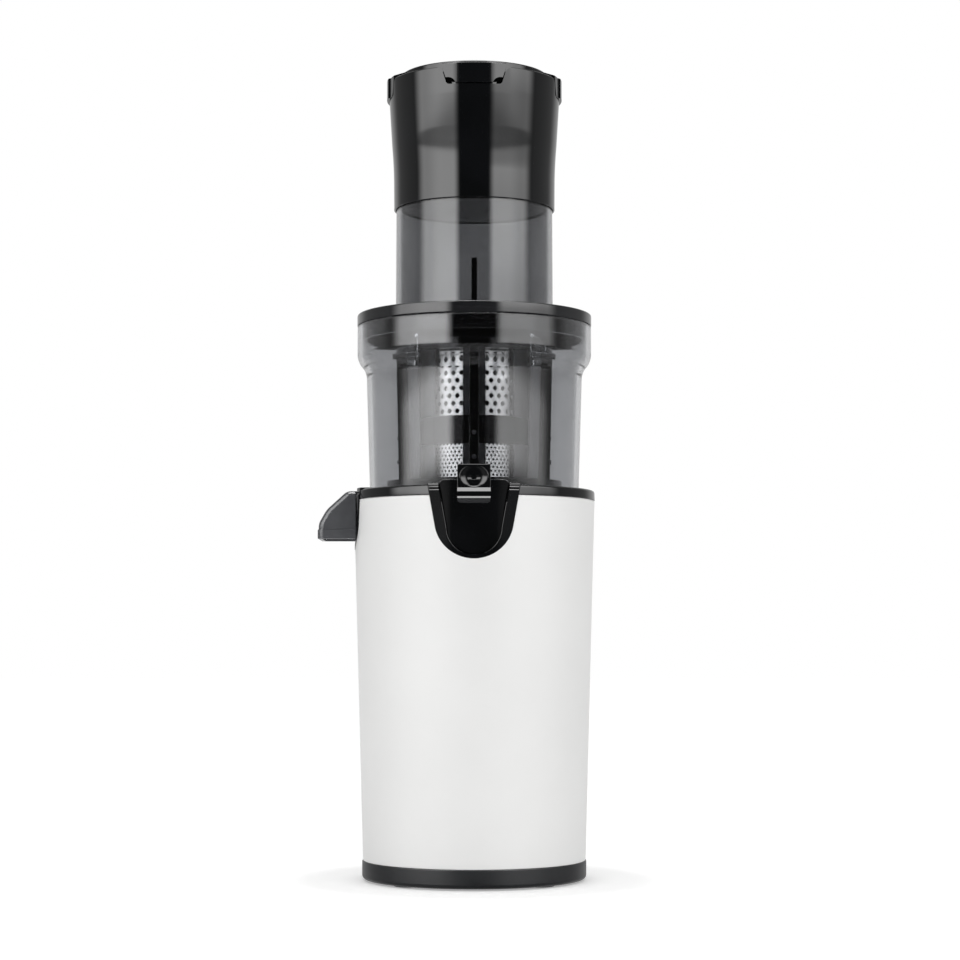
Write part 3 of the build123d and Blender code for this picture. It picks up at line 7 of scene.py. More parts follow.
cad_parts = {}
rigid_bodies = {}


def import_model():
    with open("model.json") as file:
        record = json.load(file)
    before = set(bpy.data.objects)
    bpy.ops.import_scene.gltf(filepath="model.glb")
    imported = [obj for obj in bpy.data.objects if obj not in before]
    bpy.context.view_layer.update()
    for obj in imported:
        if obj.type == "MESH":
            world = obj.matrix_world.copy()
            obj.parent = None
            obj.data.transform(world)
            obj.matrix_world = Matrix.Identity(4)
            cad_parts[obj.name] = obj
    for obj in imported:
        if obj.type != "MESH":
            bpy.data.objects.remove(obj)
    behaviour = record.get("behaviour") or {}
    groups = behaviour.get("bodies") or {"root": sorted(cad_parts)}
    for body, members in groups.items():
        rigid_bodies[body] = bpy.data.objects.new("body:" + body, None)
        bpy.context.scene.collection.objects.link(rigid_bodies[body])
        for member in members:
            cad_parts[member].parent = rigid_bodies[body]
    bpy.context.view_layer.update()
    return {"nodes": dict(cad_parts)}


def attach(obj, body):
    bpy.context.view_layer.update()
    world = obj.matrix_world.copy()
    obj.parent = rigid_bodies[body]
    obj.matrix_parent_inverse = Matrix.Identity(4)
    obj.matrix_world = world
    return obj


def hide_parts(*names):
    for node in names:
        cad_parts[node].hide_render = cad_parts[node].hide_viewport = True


# Compact vertical cold press juicer. Shapes are drawn in millimetres and scaled to metres when finished.

for leftover in list(bpy.data.objects):
    bpy.data.objects.remove(leftover)

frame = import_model()
print("packed model loaded")

levels = {
    "trayTop": 10.9, "housingTop": 204.3, "deckTop": 209.6, "well": 199.5, "bowlTop": 299.3, "lidBase": 299.6,
    "lidTop": 305.7, "chuteTop": 373.0, "collarFoot": 363.8, "notchFloor": 424.2, "collarTop": 433.8,
    "pusherTop": 438.2,
}


# colours and node helpers

def linearColour(code):
    channels = [int(code[i:i + 2], 16) / 255 for i in (1, 3, 5)]
    return [c / 12.92 if c <= 0.04045 else ((c + 0.055) / 1.055) ** 2.4 for c in channels] + [1.0]


def addNode(tree, kind, links=None, values=None, **settings):
    node = tree.nodes.new(kind)
    for name, value in settings.items():
        setattr(node, name, value)
    for socket, value in (values or {}).items():
        node.inputs[socket].default_value = value
    for socket, source in (links or {}).items():
        tree.links.new(source, node.inputs[socket])
    return node


def startMaterial(name):
    material = bpy.data.materials.new(name)
    material.use_nodes = True
    tree = material.node_tree
    tree.nodes.clear()
    return material, tree, addNode(tree, "ShaderNodeTexCoord").outputs["Object"]


def colourRange(tree, factor, low, high):
    ramp = addNode(tree, "ShaderNodeValToRGB", {"Fac": factor})
    for i, (position, code) in enumerate(((0.35, low), (0.65, high))):
        ramp.color_ramp.elements[i].position = position
        ramp.color_ramp.elements[i].color = linearColour(code)
    return ramp.outputs["Color"]


def noise(tree, place, size, detail):  # soft noise with spots of this size in millimetres
    return addNode(
        tree, "ShaderNodeTexNoise", {"Vector": place}, {"Scale": 1000 / size, "Detail": detail},
    ).outputs["Fac"]


def bump(tree, height, strength, depth):  # depth in millimetres
    return addNode(
        tree, "ShaderNodeBump", {"Height": height}, {"Strength": strength, "Distance": depth / 1000},
    ).outputs["Normal"]


def valueRange(tree, factor, low, high):
    span = addNode(tree, "ShaderNodeMapRange", {"Value": factor}, {"To Min": low, "To Max": high})
    return span.outputs["Result"]


def finishMaterial(tree, look, tint, worn, normal, values):  # tint and worn spread the colour and the roughness
    shader = addNode(tree, "ShaderNodeBsdfPrincipled", {
        "Base Color": colourRange(tree, tint, *look["colours"]), "Roughness": valueRange(tree, worn, *look["rough"]),
        "Normal": normal,
    }, values)
    addNode(tree, "ShaderNodeOutputMaterial", {"Surface": shader.outputs["BSDF"]})


plainPlastic = {"ior": 1.5, "specular": 0.5, "coat": 0.0}  # for what a plastic's own dictionary leaves out


def mouldedPlastic(name, look):  # injection moulded plastic: tool texture, faint flow mottling and handling marks
    material, tree, place = startMaterial(name)
    look = plainPlastic | look
    size, strength, depth = look["grain"]
    flow = noise(tree, place, look["flowSize"], 3.0)
    marks = noise(tree, place, look["markSize"], 6.0)
    finishMaterial(tree, look, flow, marks, bump(tree, noise(tree, place, size, 2.0), strength, depth), {
        "IOR": look["ior"], "Specular IOR Level": look["specular"],
        "Coat Weight": look["coat"], "Coat Roughness": 0.15,
    })
    return material


def clearPlastic(name, look):  # tinted copolyester: light passes once through each real wall and darkens there
    material, tree, place = startMaterial(name)
    look = plainPlastic | look
    size, strength, depth = look["wave"]
    streaks = addNode(tree, "ShaderNodeMapping", {"Vector": place}, {"Scale": (1, 1, look["drawRatio"])})
    wave = noise(tree, streaks.outputs["Vector"], size, 1.5)
    haze = noise(tree, place, look["hazeSize"], 5.0)
    finishMaterial(tree, look, haze, haze, bump(tree, wave, strength, depth), {
        "IOR": look["ior"], "Transmission Weight": look["clear"], "Specular IOR Level": look["specular"],
    })
    return material


def workedMetal(name, look):  # metal with the lines that rolling, turning or casting leaves
    material, tree, place = startMaterial(name)
    size, strength, depth = look["lines"]
    drawn = addNode(tree, "ShaderNodeMapping", {"Vector": place}, {"Scale": look["drawn"]})
    lines = noise(tree, drawn.outputs["Vector"], size, 4.0)
    stain = noise(tree, place, look["stainSize"], 4.0)
    finishMaterial(tree, look, stain, lines, bump(tree, lines, strength, depth), {"Metallic": 1.0})
    return material


# sizes are in millimetres; grain, wave and lines give size, strength and depth of the relief

satinWhiteAbs = {  # ABS with a satin lacquer: an even soft white with a faint orange peel
    "colours": ("#ECECEB", "#EFEFEE"), "flowSize": 60, "grain": (1.6, 0.05, 0.05), "markSize": 25,
    "rough": (0.42, 0.5), "specular": 0.8,
}
pianoBlackAbs = {  # ABS from a polished tool: mirror gloss over near black, with fine wiping marks
    "colours": ("#08090A", "#0C0D0F"), "flowSize": 30, "grain": (9, 0.03, 0.08), "markSize": 14,
    "rough": (0.03, 0.08),
}
textureBlackAbs = {  # ABS from a spark-eroded tool: fine grain that spreads the light
    "colours": ("#161719", "#1C1D1F"), "flowSize": 20, "grain": (0.6, 0.25, 0.06), "markSize": 12,
    "rough": (0.32, 0.48),
}
pomNylon = {  # natural nylon gear: milky, a little waxy
    "colours": ("#CFCBBD", "#DCD9CE"), "flowSize": 8, "grain": (0.8, 0.15, 0.04), "markSize": 6, "rough": (0.34, 0.5),
    "ior": 1.53,
}
nitrileRubber = {  # moulded nitrile: dark, dull and slightly dusty
    "colours": ("#232426", "#2C2D2F"), "flowSize": 6, "grain": (0.5, 0.3, 0.05), "markSize": 5, "rough": (0.6, 0.8),
    "ior": 1.52, "specular": 0.4,
}
smokeSilicone = {  # liquid silicone rubber: grey with a soft skin
    "colours": ("#4C4D50", "#5A5B5E"), "flowSize": 8, "grain": (0.7, 0.12, 0.04), "markSize": 6,
    "rough": (0.38, 0.52), "ior": 1.41,
}
fluxedBoard = {  # glass epoxy board under green solder resist
    "colours": ("#144529", "#1C5A38"), "flowSize": 4, "grain": (0.7, 0.1, 0.03), "markSize": 5, "rough": (0.22, 0.38),
    "ior": 1.55, "coat": 0.4,
}
sinteredFerrite = {  # pressed and fired ferrite: dark grey, dry and pitted
    "colours": ("#2B2B2E", "#3A3A3D"), "flowSize": 5, "grain": (0.4, 0.4, 0.06), "markSize": 4, "rough": (0.55, 0.75),
    "ior": 1.6,
}
smokeTritan = {  # copolyester tinted smoke grey: clear, glossy, with a faint draw line
    "colours": ("#B4B5B7", "#BBBCBE"), "hazeSize": 40, "wave": (12, 0.02, 0.3), "drawRatio": 0.3,
    "rough": (0.0, 0.012), "clear": 1.0,
}
deepSmokeTritan = {  # the same resin with a deeper tint, for the feed tube
    "colours": ("#8A8B8D", "#929395"), "hazeSize": 30, "wave": (10, 0.04, 0.3), "drawRatio": 0.5,
    "rough": (0.02, 0.06), "clear": 1.0,
}
blackSmokeTritan = {  # the darkest tint of the resin: almost no light comes through it
    "colours": ("#242527", "#2C2D2F"), "hazeSize": 30, "wave": (12, 0.03, 0.2), "drawRatio": 0.5,
    "rough": (0.03, 0.08), "clear": 0.4,
}
hazySmokeTritan = {  # the resin from a lightly blasted tool: clouded, so shapes behind it only shade it
    "colours": ("#595A5D", "#66676A"), "hazeSize": 20, "wave": (10, 0.04, 0.2), "drawRatio": 0.5,
    "rough": (0.12, 0.2), "clear": 0.35, "specular": 0.6,
}
frostedTritan = {  # the resin with a frosted face: spreads the light instead of passing it
    "colours": ("#7B7C7F", "#838487"), "flowSize": 25, "grain": (0.7, 0.1, 0.04), "markSize": 14,
    "rough": (0.3, 0.42),
}
perforatedSheet = {  # stainless strip, bright annealed and punched
    "colours": ("#ECECEB", "#F4F4F3"), "drawn": (1, 1, 14), "lines": (1.2, 0.05, 0.04), "stainSize": 9,
    "rough": (0.16, 0.26),
}
turnedSteel = {  # machined steel with turning lines
    "colours": ("#96989B", "#A9ABAD"), "drawn": (1, 1, 12), "lines": (0.9, 0.12, 0.04), "stainSize": 7,
    "rough": (0.24, 0.42),
}
castAlloy = {  # die cast zinc aluminium: pale grey with a frosted skin
    "colours": ("#A3A5A8", "#B8BABC"), "drawn": (1, 1, 1), "lines": (1.1, 0.25, 0.06), "stainSize": 10,
    "rough": (0.42, 0.6),
}
enamelledCopper = {  # wound copper wire under amber enamel
    "colours": ("#9A4F28", "#B8683A"), "drawn": (1, 1, 20), "lines": (2.4, 0.6, 0.3), "stainSize": 6,
    "rough": (0.25, 0.4),
}

finishes = {
    "white_shell": mouldedPlastic("satinWhiteAbs", satinWhiteAbs),
    "black_gloss": mouldedPlastic("pianoBlackAbs", pianoBlackAbs),
    "black_matte": mouldedPlastic("textureBlackAbs", textureBlackAbs),
    "smoke_clear": clearPlastic("smokeTritan", smokeTritan),
    "screen_steel": workedMetal("perforatedSheet", perforatedSheet),
    "machined_steel": workedMetal("turnedSteel", turnedSteel),
    "case_alloy": workedMetal("castAlloy", castAlloy),
    "gear_nylon": mouldedPlastic("pomNylon", pomNylon),
    "magnet_ferrite": mouldedPlastic("sinteredFerrite", sinteredFerrite),
    "copper_wire": workedMetal("enamelledCopper", enamelledCopper),
    "rubber_grey": mouldedPlastic("nitrileRubber", nitrileRubber),
    "silicone_smoke": mouldedPlastic("smokeSilicone", smokeSilicone),
    "board_green": mouldedPlastic("fluxedBoard", fluxedBoard),
}
deepSmoke = clearPlastic("deepSmokeTritan", deepSmokeTritan)
blackSmoke = clearPlastic("blackSmokeTritan", blackSmokeTritan)
hazySmoke = clearPlastic("hazySmokeTritan", hazySmokeTritan)
frosted = mouldedPlastic("frostedTritan", frostedTritan)

for node in frame["nodes"].values():
    for place in node.material_slots:
        place.material = finishes[place.material.name.split(".")[0]]
for name in ("strainer_frame", "brush_frame", "feed_fin"):  # polished mould, so they mirror the room through the bowl
    frame["nodes"][name].material_slots[0].material = finishes["black_gloss"]
print("materials made")


# drawing and shaping helpers

def turn(bm, azimuth, axis="Z"):
    bmesh.ops.rotate(bm, cent=(0, 0, 0), matrix=Matrix.Rotation(radians(azimuth), 3, axis), verts=bm.verts[:])
    return bm


def move(bm, x, y, z):
    bmesh.ops.translate(bm, vec=(x, y, z), verts=bm.verts[:])
    return bm


def stretch(bm, x, y, z):
    bmesh.ops.scale(bm, vec=(x, y, z), verts=bm.verts[:])
    return bm


def faceOut(bm):  # every face looks outwards
    bmesh.ops.recalc_face_normals(bm, faces=bm.faces[:])
    return bm


def addObject(name, data):
    item = bpy.data.objects.new(name, data)
    bpy.context.scene.collection.objects.link(item)
    return item


def drawWire(bm, corners):  # closed wire of (x, z) corners; a third number rounds that corner
    points = [bm.verts.new((corner[0], 0, corner[1])) for corner in corners]
    count = len(points)
    for i in range(count):
        bm.edges.new((points[i], points[(i + 1) % count]))
    for i, corner in enumerate(corners):
        if len(corner) == 2:
            continue
        here = Vector(corner[:2])
        toLast = Vector(corners[i - 1][:2]) - here
        toNext = Vector(corners[(i + 1) % count][:2]) - here
        bmesh.ops.bevel(
            bm, geom=[points[i]], offset=corner[2] / tan(toLast.angle(toNext) / 2), offset_type="OFFSET",
            segments=3 if corner[2] < 1.2 else 8, profile=0.5, affect="VERTICES", clamp_overlap=False, material=-1,
        )


def spinProfile(corners, steps=192):  # closed (radius, height) profile turned about Z
    bm = bmesh.new()
    drawWire(bm, corners)
    bmesh.ops.spin(
        bm, geom=bm.verts[:] + bm.edges[:], cent=(0, 0, 0), axis=(0, 0, 1), angle=2 * pi, steps=steps,
        use_merge=True, use_duplicate=False,
    )
    bmesh.ops.remove_doubles(bm, verts=bm.verts[:], dist=0.001)
    loose = [edge for edge in bm.edges if not edge.link_faces]
    bmesh.ops.delete(bm, geom=loose, context="EDGES")
    return bm


def spinPart(corners, middle, width, steps=24):  # the same over part of a turn, with closed ends
    bm = bmesh.new()
    drawWire(bm, corners)
    bmesh.ops.contextual_create(bm, geom=bm.edges[:])
    turn(bm, middle - width / 2)
    bmesh.ops.spin(
        bm, geom=bm.faces[:] + bm.edges[:] + bm.verts[:], cent=(0, 0, 0), axis=(0, 0, 1), angle=radians(width),
        steps=steps, use_duplicate=False,
    )
    return faceOut(bm)


def grownBy(bm):  # doubles every face and gives back the new layer's corners
    grown = bmesh.ops.extrude_face_region(bm, geom=bm.faces[:], use_keep_orig=True)
    return [item for item in grown["geom"] if isinstance(item, bmesh.types.BMVert)]


def sliced(bm, point, normal):
    bmesh.ops.bisect_plane(
        bm, geom=bm.verts[:] + bm.edges[:] + bm.faces[:], plane_co=point, plane_no=normal, dist=0.0001,
    )


def ball(across, deep, high, segments):  # squashed sphere
    bm = bmesh.new()
    bmesh.ops.create_uvsphere(bm, u_segments=segments, v_segments=segments // 2, radius=1)
    return stretch(bm, across, deep, high)


def section(inner, outer, low, high, topRound=()):  # rectangle to spin, its upper corners rounded if told
    return [(inner, low), (outer, low), (outer, high) + topRound, (inner, high) + topRound]


def mirrored(corner):
    return (-corner[0],) + corner[1:]


def drawnOut(corners, near, far):  # closed (x, z) outline drawn out along Y
    bm = bmesh.new()
    drawWire(bm, corners)
    bmesh.ops.contextual_create(bm, geom=bm.edges[:])
    bmesh.ops.translate(bm, vec=(0, far - near, 0), verts=grownBy(bm))
    bmesh.ops.translate(bm, vec=(0, near, 0), verts=bm.verts[:])
    return faceOut(bm)


def raised(corners, low, high):  # closed (x, y) outline drawn out along Z
    bm = drawnOut(corners, -high, -low)
    return turn(bm, -90, "X")


def peg(radius, low, high, steps=48):
    bm = bmesh.new()
    bmesh.ops.create_cone(
        bm, cap_ends=True, segments=steps, radius1=radius, radius2=radius, depth=high - low,
    )
    return move(bm, 0, 0, (low + high) / 2)


def brick(x, y, z):
    bm = bmesh.new()
    bmesh.ops.create_cube(bm, size=1)
    stretch(bm, x[1] - x[0], y[1] - y[0], z[1] - z[0])
    return move(bm, (x[0] + x[1]) / 2, (y[0] + y[1]) / 2, (z[0] + z[1]) / 2)


def joined(shapes):
    total = bmesh.new()
    for shape in shapes:
        mesh = bpy.data.meshes.new("joined")
        shape.to_mesh(mesh)
        shape.free()
        total.from_mesh(mesh)
        bpy.data.meshes.remove(mesh)
    return total


def carved(bm, tools, operation="DIFFERENCE"):  # exact booleans, applied at once
    holders = []
    for shape in [bm] + tools:
        faceOut(shape)
        mesh = bpy.data.meshes.new("holder")
        shape.to_mesh(mesh)
        shape.free()
        holders.append(addObject("holder", mesh))
    for tool in holders[1:]:
        cut = holders[0].modifiers.new("cut", "BOOLEAN")
        cut.operation = operation
        cut.solver = "EXACT"
        cut.object = tool
    result = bmesh.new()
    result.from_object(holders[0], bpy.context.evaluated_depsgraph_get())
    for holder in holders:
        mesh = holder.data
        bpy.data.objects.remove(holder)
        bpy.data.meshes.remove(mesh)
    bmesh.ops.dissolve_degenerate(result, dist=0.0005, edges=result.edges[:])
    return result


def softenEdges(bm, size, limit, segments, chosen=None):  # rounds the sharp edges, or the chosen ones
    sharp = [
        edge for edge in bm.edges
        if len(edge.link_faces) == 2 and edge.calc_face_angle(0) > radians(limit) and (chosen is None or chosen(edge))
    ]
    bmesh.ops.bevel(
        bm, geom=sharp, offset=size, offset_type="OFFSET", segments=segments, profile=0.5, affect="EDGES",
        clamp_overlap=True, material=-1,
    )
    return bm


def finishPiece(bm, name, body, slotName, replaced=(), material=None):
    bmesh.ops.remove_doubles(bm, verts=bm.verts[:], dist=0.0004)
    faceOut(bm)
    stretch(bm, 0.001, 0.001, 0.001)
    mesh = bpy.data.meshes.new(name)
    bm.to_mesh(mesh)
    bm.free()
    mesh.materials.append(material or finishes[slotName])
    mesh.shade_smooth()
    mesh.set_sharp_from_angle(angle=radians(35))
    piece = addObject(name, mesh)
    even = piece.modifiers.new("evenNormals", "WEIGHTED_NORMAL")  # small roundings don't bend the long faces' shading
    even.keep_sharp = True
    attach(piece, body)
    if replaced:
        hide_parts(*replaced)
    return piece


# housing, tray and feet

housing = {  # radii and heights; the back has a switch opening and a hole for the cord gland
    "foot": 60.0, "top": 65.4, "wall": 2.5, "edge": 0.7, "back": (48, 75), "switchHalf": 12.2, "switch": (55.8, 88.2),
    "glandRadius": 7.2, "gland": 27.1,
}
saddles = {  # U openings: half width, flare above the arc, band and depth of each
    "half": 20.3, "flare": 4.0, "arcShare": 0.42, "band": 5.9, "sill": 2.3, "proud": 0.9, "lean": 0.02, "top": 210.4,
    "juiceDepth": 38.8, "pulpDepth": 32.4, "steps": (206.6, 208.2), "stepSize": 0.35, "inner": 57.6, "edge": 0.55,
}


def housingRadius(z):
    slope = (housing["top"] - housing["foot"]) / (levels["housingTop"] - levels["trayTop"])
    return housing["foot"] + slope * (z - levels["trayTop"])


def drawSaddle(bm, depth, inset, sill, top):  # open U wire in (x, z), left top to right top
    straight = depth * (1 - saddles["arcShare"])
    knee = levels["deckTop"] - straight
    half = saddles["half"] - inset
    bottom = levels["deckTop"] - depth + sill
    drop = knee - bottom
    radius = (half * half + drop * drop) / (2 * drop)
    first = bm.verts.new((-half, 0, knee))
    arc = bmesh.ops.spin(
        bm, geom=[first], cent=(0, 0, bottom + radius), axis=(0, -1, 0),
        angle=2 * atan2(half, radius - drop), steps=48, use_duplicate=False,
    )
    last = [item for item in arc["geom_last"] if isinstance(item, bmesh.types.BMVert)][0]
    wide = half + saddles["flare"] / straight * (top - knee)
    tops = []
    for end, side in ((first, -1), (last, 1)):
        tip = bmesh.ops.extrude_vert_indiv(bm, verts=[end])["verts"][0]
        tip.co = (side * wide, 0, top)
        tops.append(tip)
    return tops


def saddleCutter(depth, inset, sill, near, far):  # solid U prism along -Y
    bm = bmesh.new()
    tops = drawSaddle(bm, depth, inset, sill, levels["deckTop"] + 20)
    bm.edges.new(tops)
    bmesh.ops.contextual_create(bm, geom=bm.edges[:])
    bmesh.ops.translate(bm, vec=(0, near - far, 0), verts=grownBy(bm))
    return move(bm, 0, -near, 0)


def saddleCutters(inset, sill, near, far):  # for the juice saddle in front and the pulp saddle on the left
    return [
        saddleCutter(saddles["juiceDepth"], inset, sill, near, far),
        turn(saddleCutter(saddles["pulpDepth"], inset, sill, near, far), -90),
    ]


shell = spinProfile([
    (housing["foot"], levels["trayTop"], 0.4),
    (housing["top"], levels["housingTop"], housing["edge"]),
    (housing["top"] - housing["wall"], levels["housingTop"]),
    (housing["foot"] - housing["wall"], levels["trayTop"]),
], steps=256)
shell = carved(shell, saddleCutters(0.5, 0.4, 45, 75) + [
    brick((-housing["switchHalf"], housing["switchHalf"]), housing["back"], housing["switch"]),
    move(turn(peg(housing["glandRadius"], -12, 12), 90, "X"), 0, housing["foot"], housing["gland"]),
])
finishPiece(shell, "housingShell", "base", "white_shell", ["housing"])

tray = {
    "radius": 60.4, "foot": 0.8, "edge": 2.4, "lip": 0.6, "hole": 8.0, "floor": 4.9, "spigot": 57.1, "inner": 54.9,
    "top": 16.9, "vents": 12, "ventNear": 10.0, "ventFar": 26.0, "ventHalf": 1.7, "ventRound": 1.6,
    "screwRadius": 3.4, "screwDepth": 3.4, "screwCircle": 50.3,
}
footLook = {
    "radius": 8.5, "height": 3.6, "edge": 0.8, "dish": 5.2, "dishDepth": 0.5, "circle": 48, "pocket": 8.6,
}
floorPan = spinProfile([
    (tray["hole"], tray["foot"]),
    (tray["radius"], tray["foot"], tray["edge"]),
    (tray["radius"], levels["trayTop"], tray["lip"]),
    (tray["spigot"], levels["trayTop"]),
    (tray["spigot"], tray["top"], tray["lip"]),
    (tray["inner"], tray["top"], tray["lip"]),
    (tray["inner"], tray["floor"]),
    (tray["hole"], tray["floor"]),
])
ventCorners = [(tray["ventNear"], -1), (tray["ventFar"], -1), (tray["ventFar"], 1), (tray["ventNear"], 1)]
ventOutline = [(x, side * tray["ventHalf"], tray["ventRound"]) for x, side in ventCorners]
ventSlots = [turn(raised(ventOutline, 0, 8), 360 / tray["vents"] * i) for i in range(tray["vents"])]
footPockets, screwPockets = [], []
for i in range(4):
    footPocket = move(peg(footLook["pocket"], 0, footLook["height"]), footLook["circle"], 0, 0)
    footPockets.append(turn(footPocket, 45 + 90 * i))
    screwPocket = move(peg(tray["screwRadius"], 0, tray["screwDepth"]), tray["screwCircle"], 0, 0)
    screwPockets.append(turn(screwPocket, 75 + 90 * i))
floorPan = carved(floorPan, [joined(ventSlots), joined(footPockets), joined(screwPockets)])
finishPiece(floorPan, "trayPan", "base", "black_matte", ["bottom_tray"])

for i in range(4):
    pad = spinProfile([
        (0, footLook["dishDepth"]), (footLook["dish"], footLook["dishDepth"], 0.4), (footLook["dish"] + 0.6, 0),
        (footLook["radius"], 0, footLook["edge"]), (footLook["radius"], footLook["height"]), (0, footLook["height"]),
    ], steps=64)
    turn(move(pad, footLook["circle"], 0, 0), 45 + 90 * i)
    finishPiece(pad, f"footPad{i + 1}", "base", "rubber_grey", [f"foot_{i + 1}"])
print("base made")


# deck ring, its well and the two saddle bands

deck = {
    "rim": 65.58, "rimEdge": 1.4, "lean": 0.2, "well": 57.4, "under": 196.5, "hub": 10.25, "hubWall": 3.0,
    "hubFoot": 190.5, "spigot": 62.3,
}
trenchLook = {"outer": -58.9, "inner": -14.3, "half": 12.0, "wall": 2.5, "foot": 181.6, "top": 197.5}


def trenchDig(outer, inner=trenchLook["inner"]):  # the pulp's way out on the left
    return brick((outer, inner), (-trenchLook["half"], trenchLook["half"]), (trenchLook["foot"], levels["well"] + 1.0))


ring = spinProfile([
    (deck["spigot"], deck["under"]),
    (deck["spigot"], levels["housingTop"]),
    (deck["rim"], levels["housingTop"], 0.3),
    (deck["rim"] - deck["lean"], levels["deckTop"], deck["rimEdge"]),
    (deck["well"], levels["deckTop"], 0.8),
    (deck["well"], levels["well"], 1.0),
    (deck["hub"], levels["well"], 0.4),
    (deck["hub"], deck["hubFoot"]),
    (deck["hub"] + deck["hubWall"], deck["hubFoot"]),
    (deck["hub"] + deck["hubWall"], deck["under"]),
], steps=256)
ring = carved(ring, saddleCutters(5.4, 2.0, 57.0, 75) + [trenchDig(-64)])
finishPiece(ring, "deckRing", "base", "black_gloss", ["deck"])

trenchSide = trenchLook["half"] + trenchLook["wall"]
trench = brick(
    (trenchLook["outer"], trenchLook["inner"] + trenchLook["wall"]), (-trenchSide, trenchSide),
    (trenchLook["foot"] - trenchLook["wall"], trenchLook["top"]),
)
finishPiece(carved(trench, [trenchDig(-70)]), "pulpTrench", "base", "black_gloss")


def saddleBand(depth):
    bm = bmesh.new()
    drawSaddle(bm, depth, 0, 0, saddles["top"])
    drawSaddle(bm, depth, saddles["band"], saddles["sill"], saddles["top"])
    bmesh.ops.bridge_loops(bm, edges=bm.edges[:])
    for step in saddles["steps"]:  # each post steps back twice below its top
        for level in (step, step + saddles["stepSize"]):
            sliced(bm, (0, 0, level), (0, 0, 1))
    inner = set(grownBy(bm))
    for vert in bm.verts:
        x, z = vert.co.x, vert.co.z
        if vert in inner:
            vert.co.y = -sqrt(saddles["inner"] ** 2 - x * x)
        else:
            back = saddles["stepSize"] * sum(z > step + 0.1 for step in saddles["steps"])
            back += saddles["lean"] * (saddles["top"] - z)
            vert.co.y = -sqrt((housingRadius(z) + saddles["proud"] - back) ** 2 - x * x)
    faceOut(bm)
    return softenEdges(bm, saddles["edge"], 60, 3)


finishPiece(saddleBand(saddles["juiceDepth"]), "juiceSaddleBand", "base", "black_gloss")
finishPiece(turn(saddleBand(saddles["pulpDepth"]), -90), "pulpSaddleBand", "base", "black_gloss")
backLook = {"inner": 57.5, "outer": 59.8, "top": 199.4, "width": 44}  # walls behind the saddles
for name, azimuth, low in (("juiceSaddleBack", -90, 172.0), ("pulpSaddleBack", 180, 178.5)):
    back = spinPart(section(backLook["inner"], backLook["outer"], low, backLook["top"]), azimuth, backLook["width"])
    if azimuth == 180:
        back = carved(back, [trenchDig(-64, -50)])
    finishPiece(back, name, "base", "black_gloss")
print("deck made")


# spout shield and the juice outlet's cap

shieldLook = {
    "inset": 0.6, "lean": 0.035, "thick": 2.4, "top": 212.1, "corner": 2.7, "gap": 0.35, "strip": 2.5, "edge": 0.5,
}


def shieldPlate():
    bm = bmesh.new()
    inset, sill = saddles["band"] + shieldLook["gap"], saddles["sill"] + shieldLook["gap"]
    tops = drawSaddle(bm, saddles["juiceDepth"], inset, sill, shieldLook["top"])
    bm.edges.new(tops)
    for tip in tops:
        bmesh.ops.bevel(
            bm, geom=[tip], offset=shieldLook["corner"], offset_type="OFFSET", segments=8, profile=0.5,
            affect="VERTICES", clamp_overlap=False, material=-1,
        )
    bmesh.ops.contextual_create(bm, geom=bm.edges[:])
    for i in range(-6, 7):
        sliced(bm, (shieldLook["strip"] * i, 0, 0), (1, 0, 0))
    inner = set(grownBy(bm))
    for vert in bm.verts:
        x, z = vert.co.x, vert.co.z
        reach = housingRadius(z) - shieldLook["inset"] - shieldLook["lean"] * (shieldLook["top"] - z)
        reach -= shieldLook["thick"] if vert in inner else 0
        vert.co.y = -sqrt(reach ** 2 - x * x)
    faceOut(bm)
    return softenEdges(bm, shieldLook["edge"], 50, 2)


finishPiece(shieldPlate(), "spoutShield", "bowl_unit", "black_gloss", ["spout_shield"])

capLook = {  # front face with a round dish, then a shelf, a slope that catches the light, and the thumb lip
    "half": 8.55, "back": 75.3, "front": 78.5, "top": 219.1, "ledge": 207.0, "shelf": 204.8, "step": 203.0,
    "slopeTop": 202.8, "slopeFoot": 201.4, "foot": 199.0, "lip": 80.9, "lipHalf": 8.5, "lipBack": 76.6,
    "dishHalf": 7.1, "dishDeep": 2.0, "dishRise": 5.6, "dishLevel": 212.6, "rim": 0.28,
}


def juiceCapShape():
    side = [  # (y, z) section, drawn as (x, z) and turned
        (-capLook["back"], capLook["top"], 0.5),
        (-capLook["front"] + 0.4, capLook["top"], 0.6),
        (-capLook["front"], capLook["ledge"], 0.5),
        (-capLook["front"] - 1.6, capLook["shelf"], 0.4),
        (-capLook["front"] - 1.5, capLook["step"]),
        (-capLook["lip"] + 1.35, capLook["slopeTop"]),
        (-capLook["lip"] + 0.2, capLook["slopeFoot"], 0.1),
        (-capLook["lip"] + 0.8, capLook["foot"] + 0.4, 0.6),
        (-capLook["back"] - 1.5, capLook["foot"], 0.4),
        (-capLook["back"], capLook["foot"] + 3, 0.4),
    ]
    bm = turn(drawnOut(side, -capLook["half"], capLook["half"]), 90)
    faceOut(bm)
    softenEdges(bm, 1.1, 60, 4, lambda edge: (
        all(vert.co.z < capLook["step"] for vert in edge.verts) and abs(edge.verts[0].co.x) > 8
    ))
    return softenEdges(bm, 0.3, 60, 2, lambda edge: all(vert.co.z > capLook["ledge"] - 1 for vert in edge.verts))


dish = ball(capLook["dishHalf"], capLook["dishDeep"], capLook["dishRise"], 64)
move(dish, 0, -capLook["front"] - 0.1, capLook["dishLevel"])
dimple = ball(capLook["dishHalf"] * 0.62, capLook["dishDeep"] + 0.7, capLook["dishRise"] * 0.4, 48)
move(dimple, 0, -capLook["front"] - 0.1, capLook["dishLevel"] - 0.4)
finishPiece(carved(juiceCapShape(), [dish, dimple]), "juiceCap", "cap", "black_gloss", ["juice_cap"])

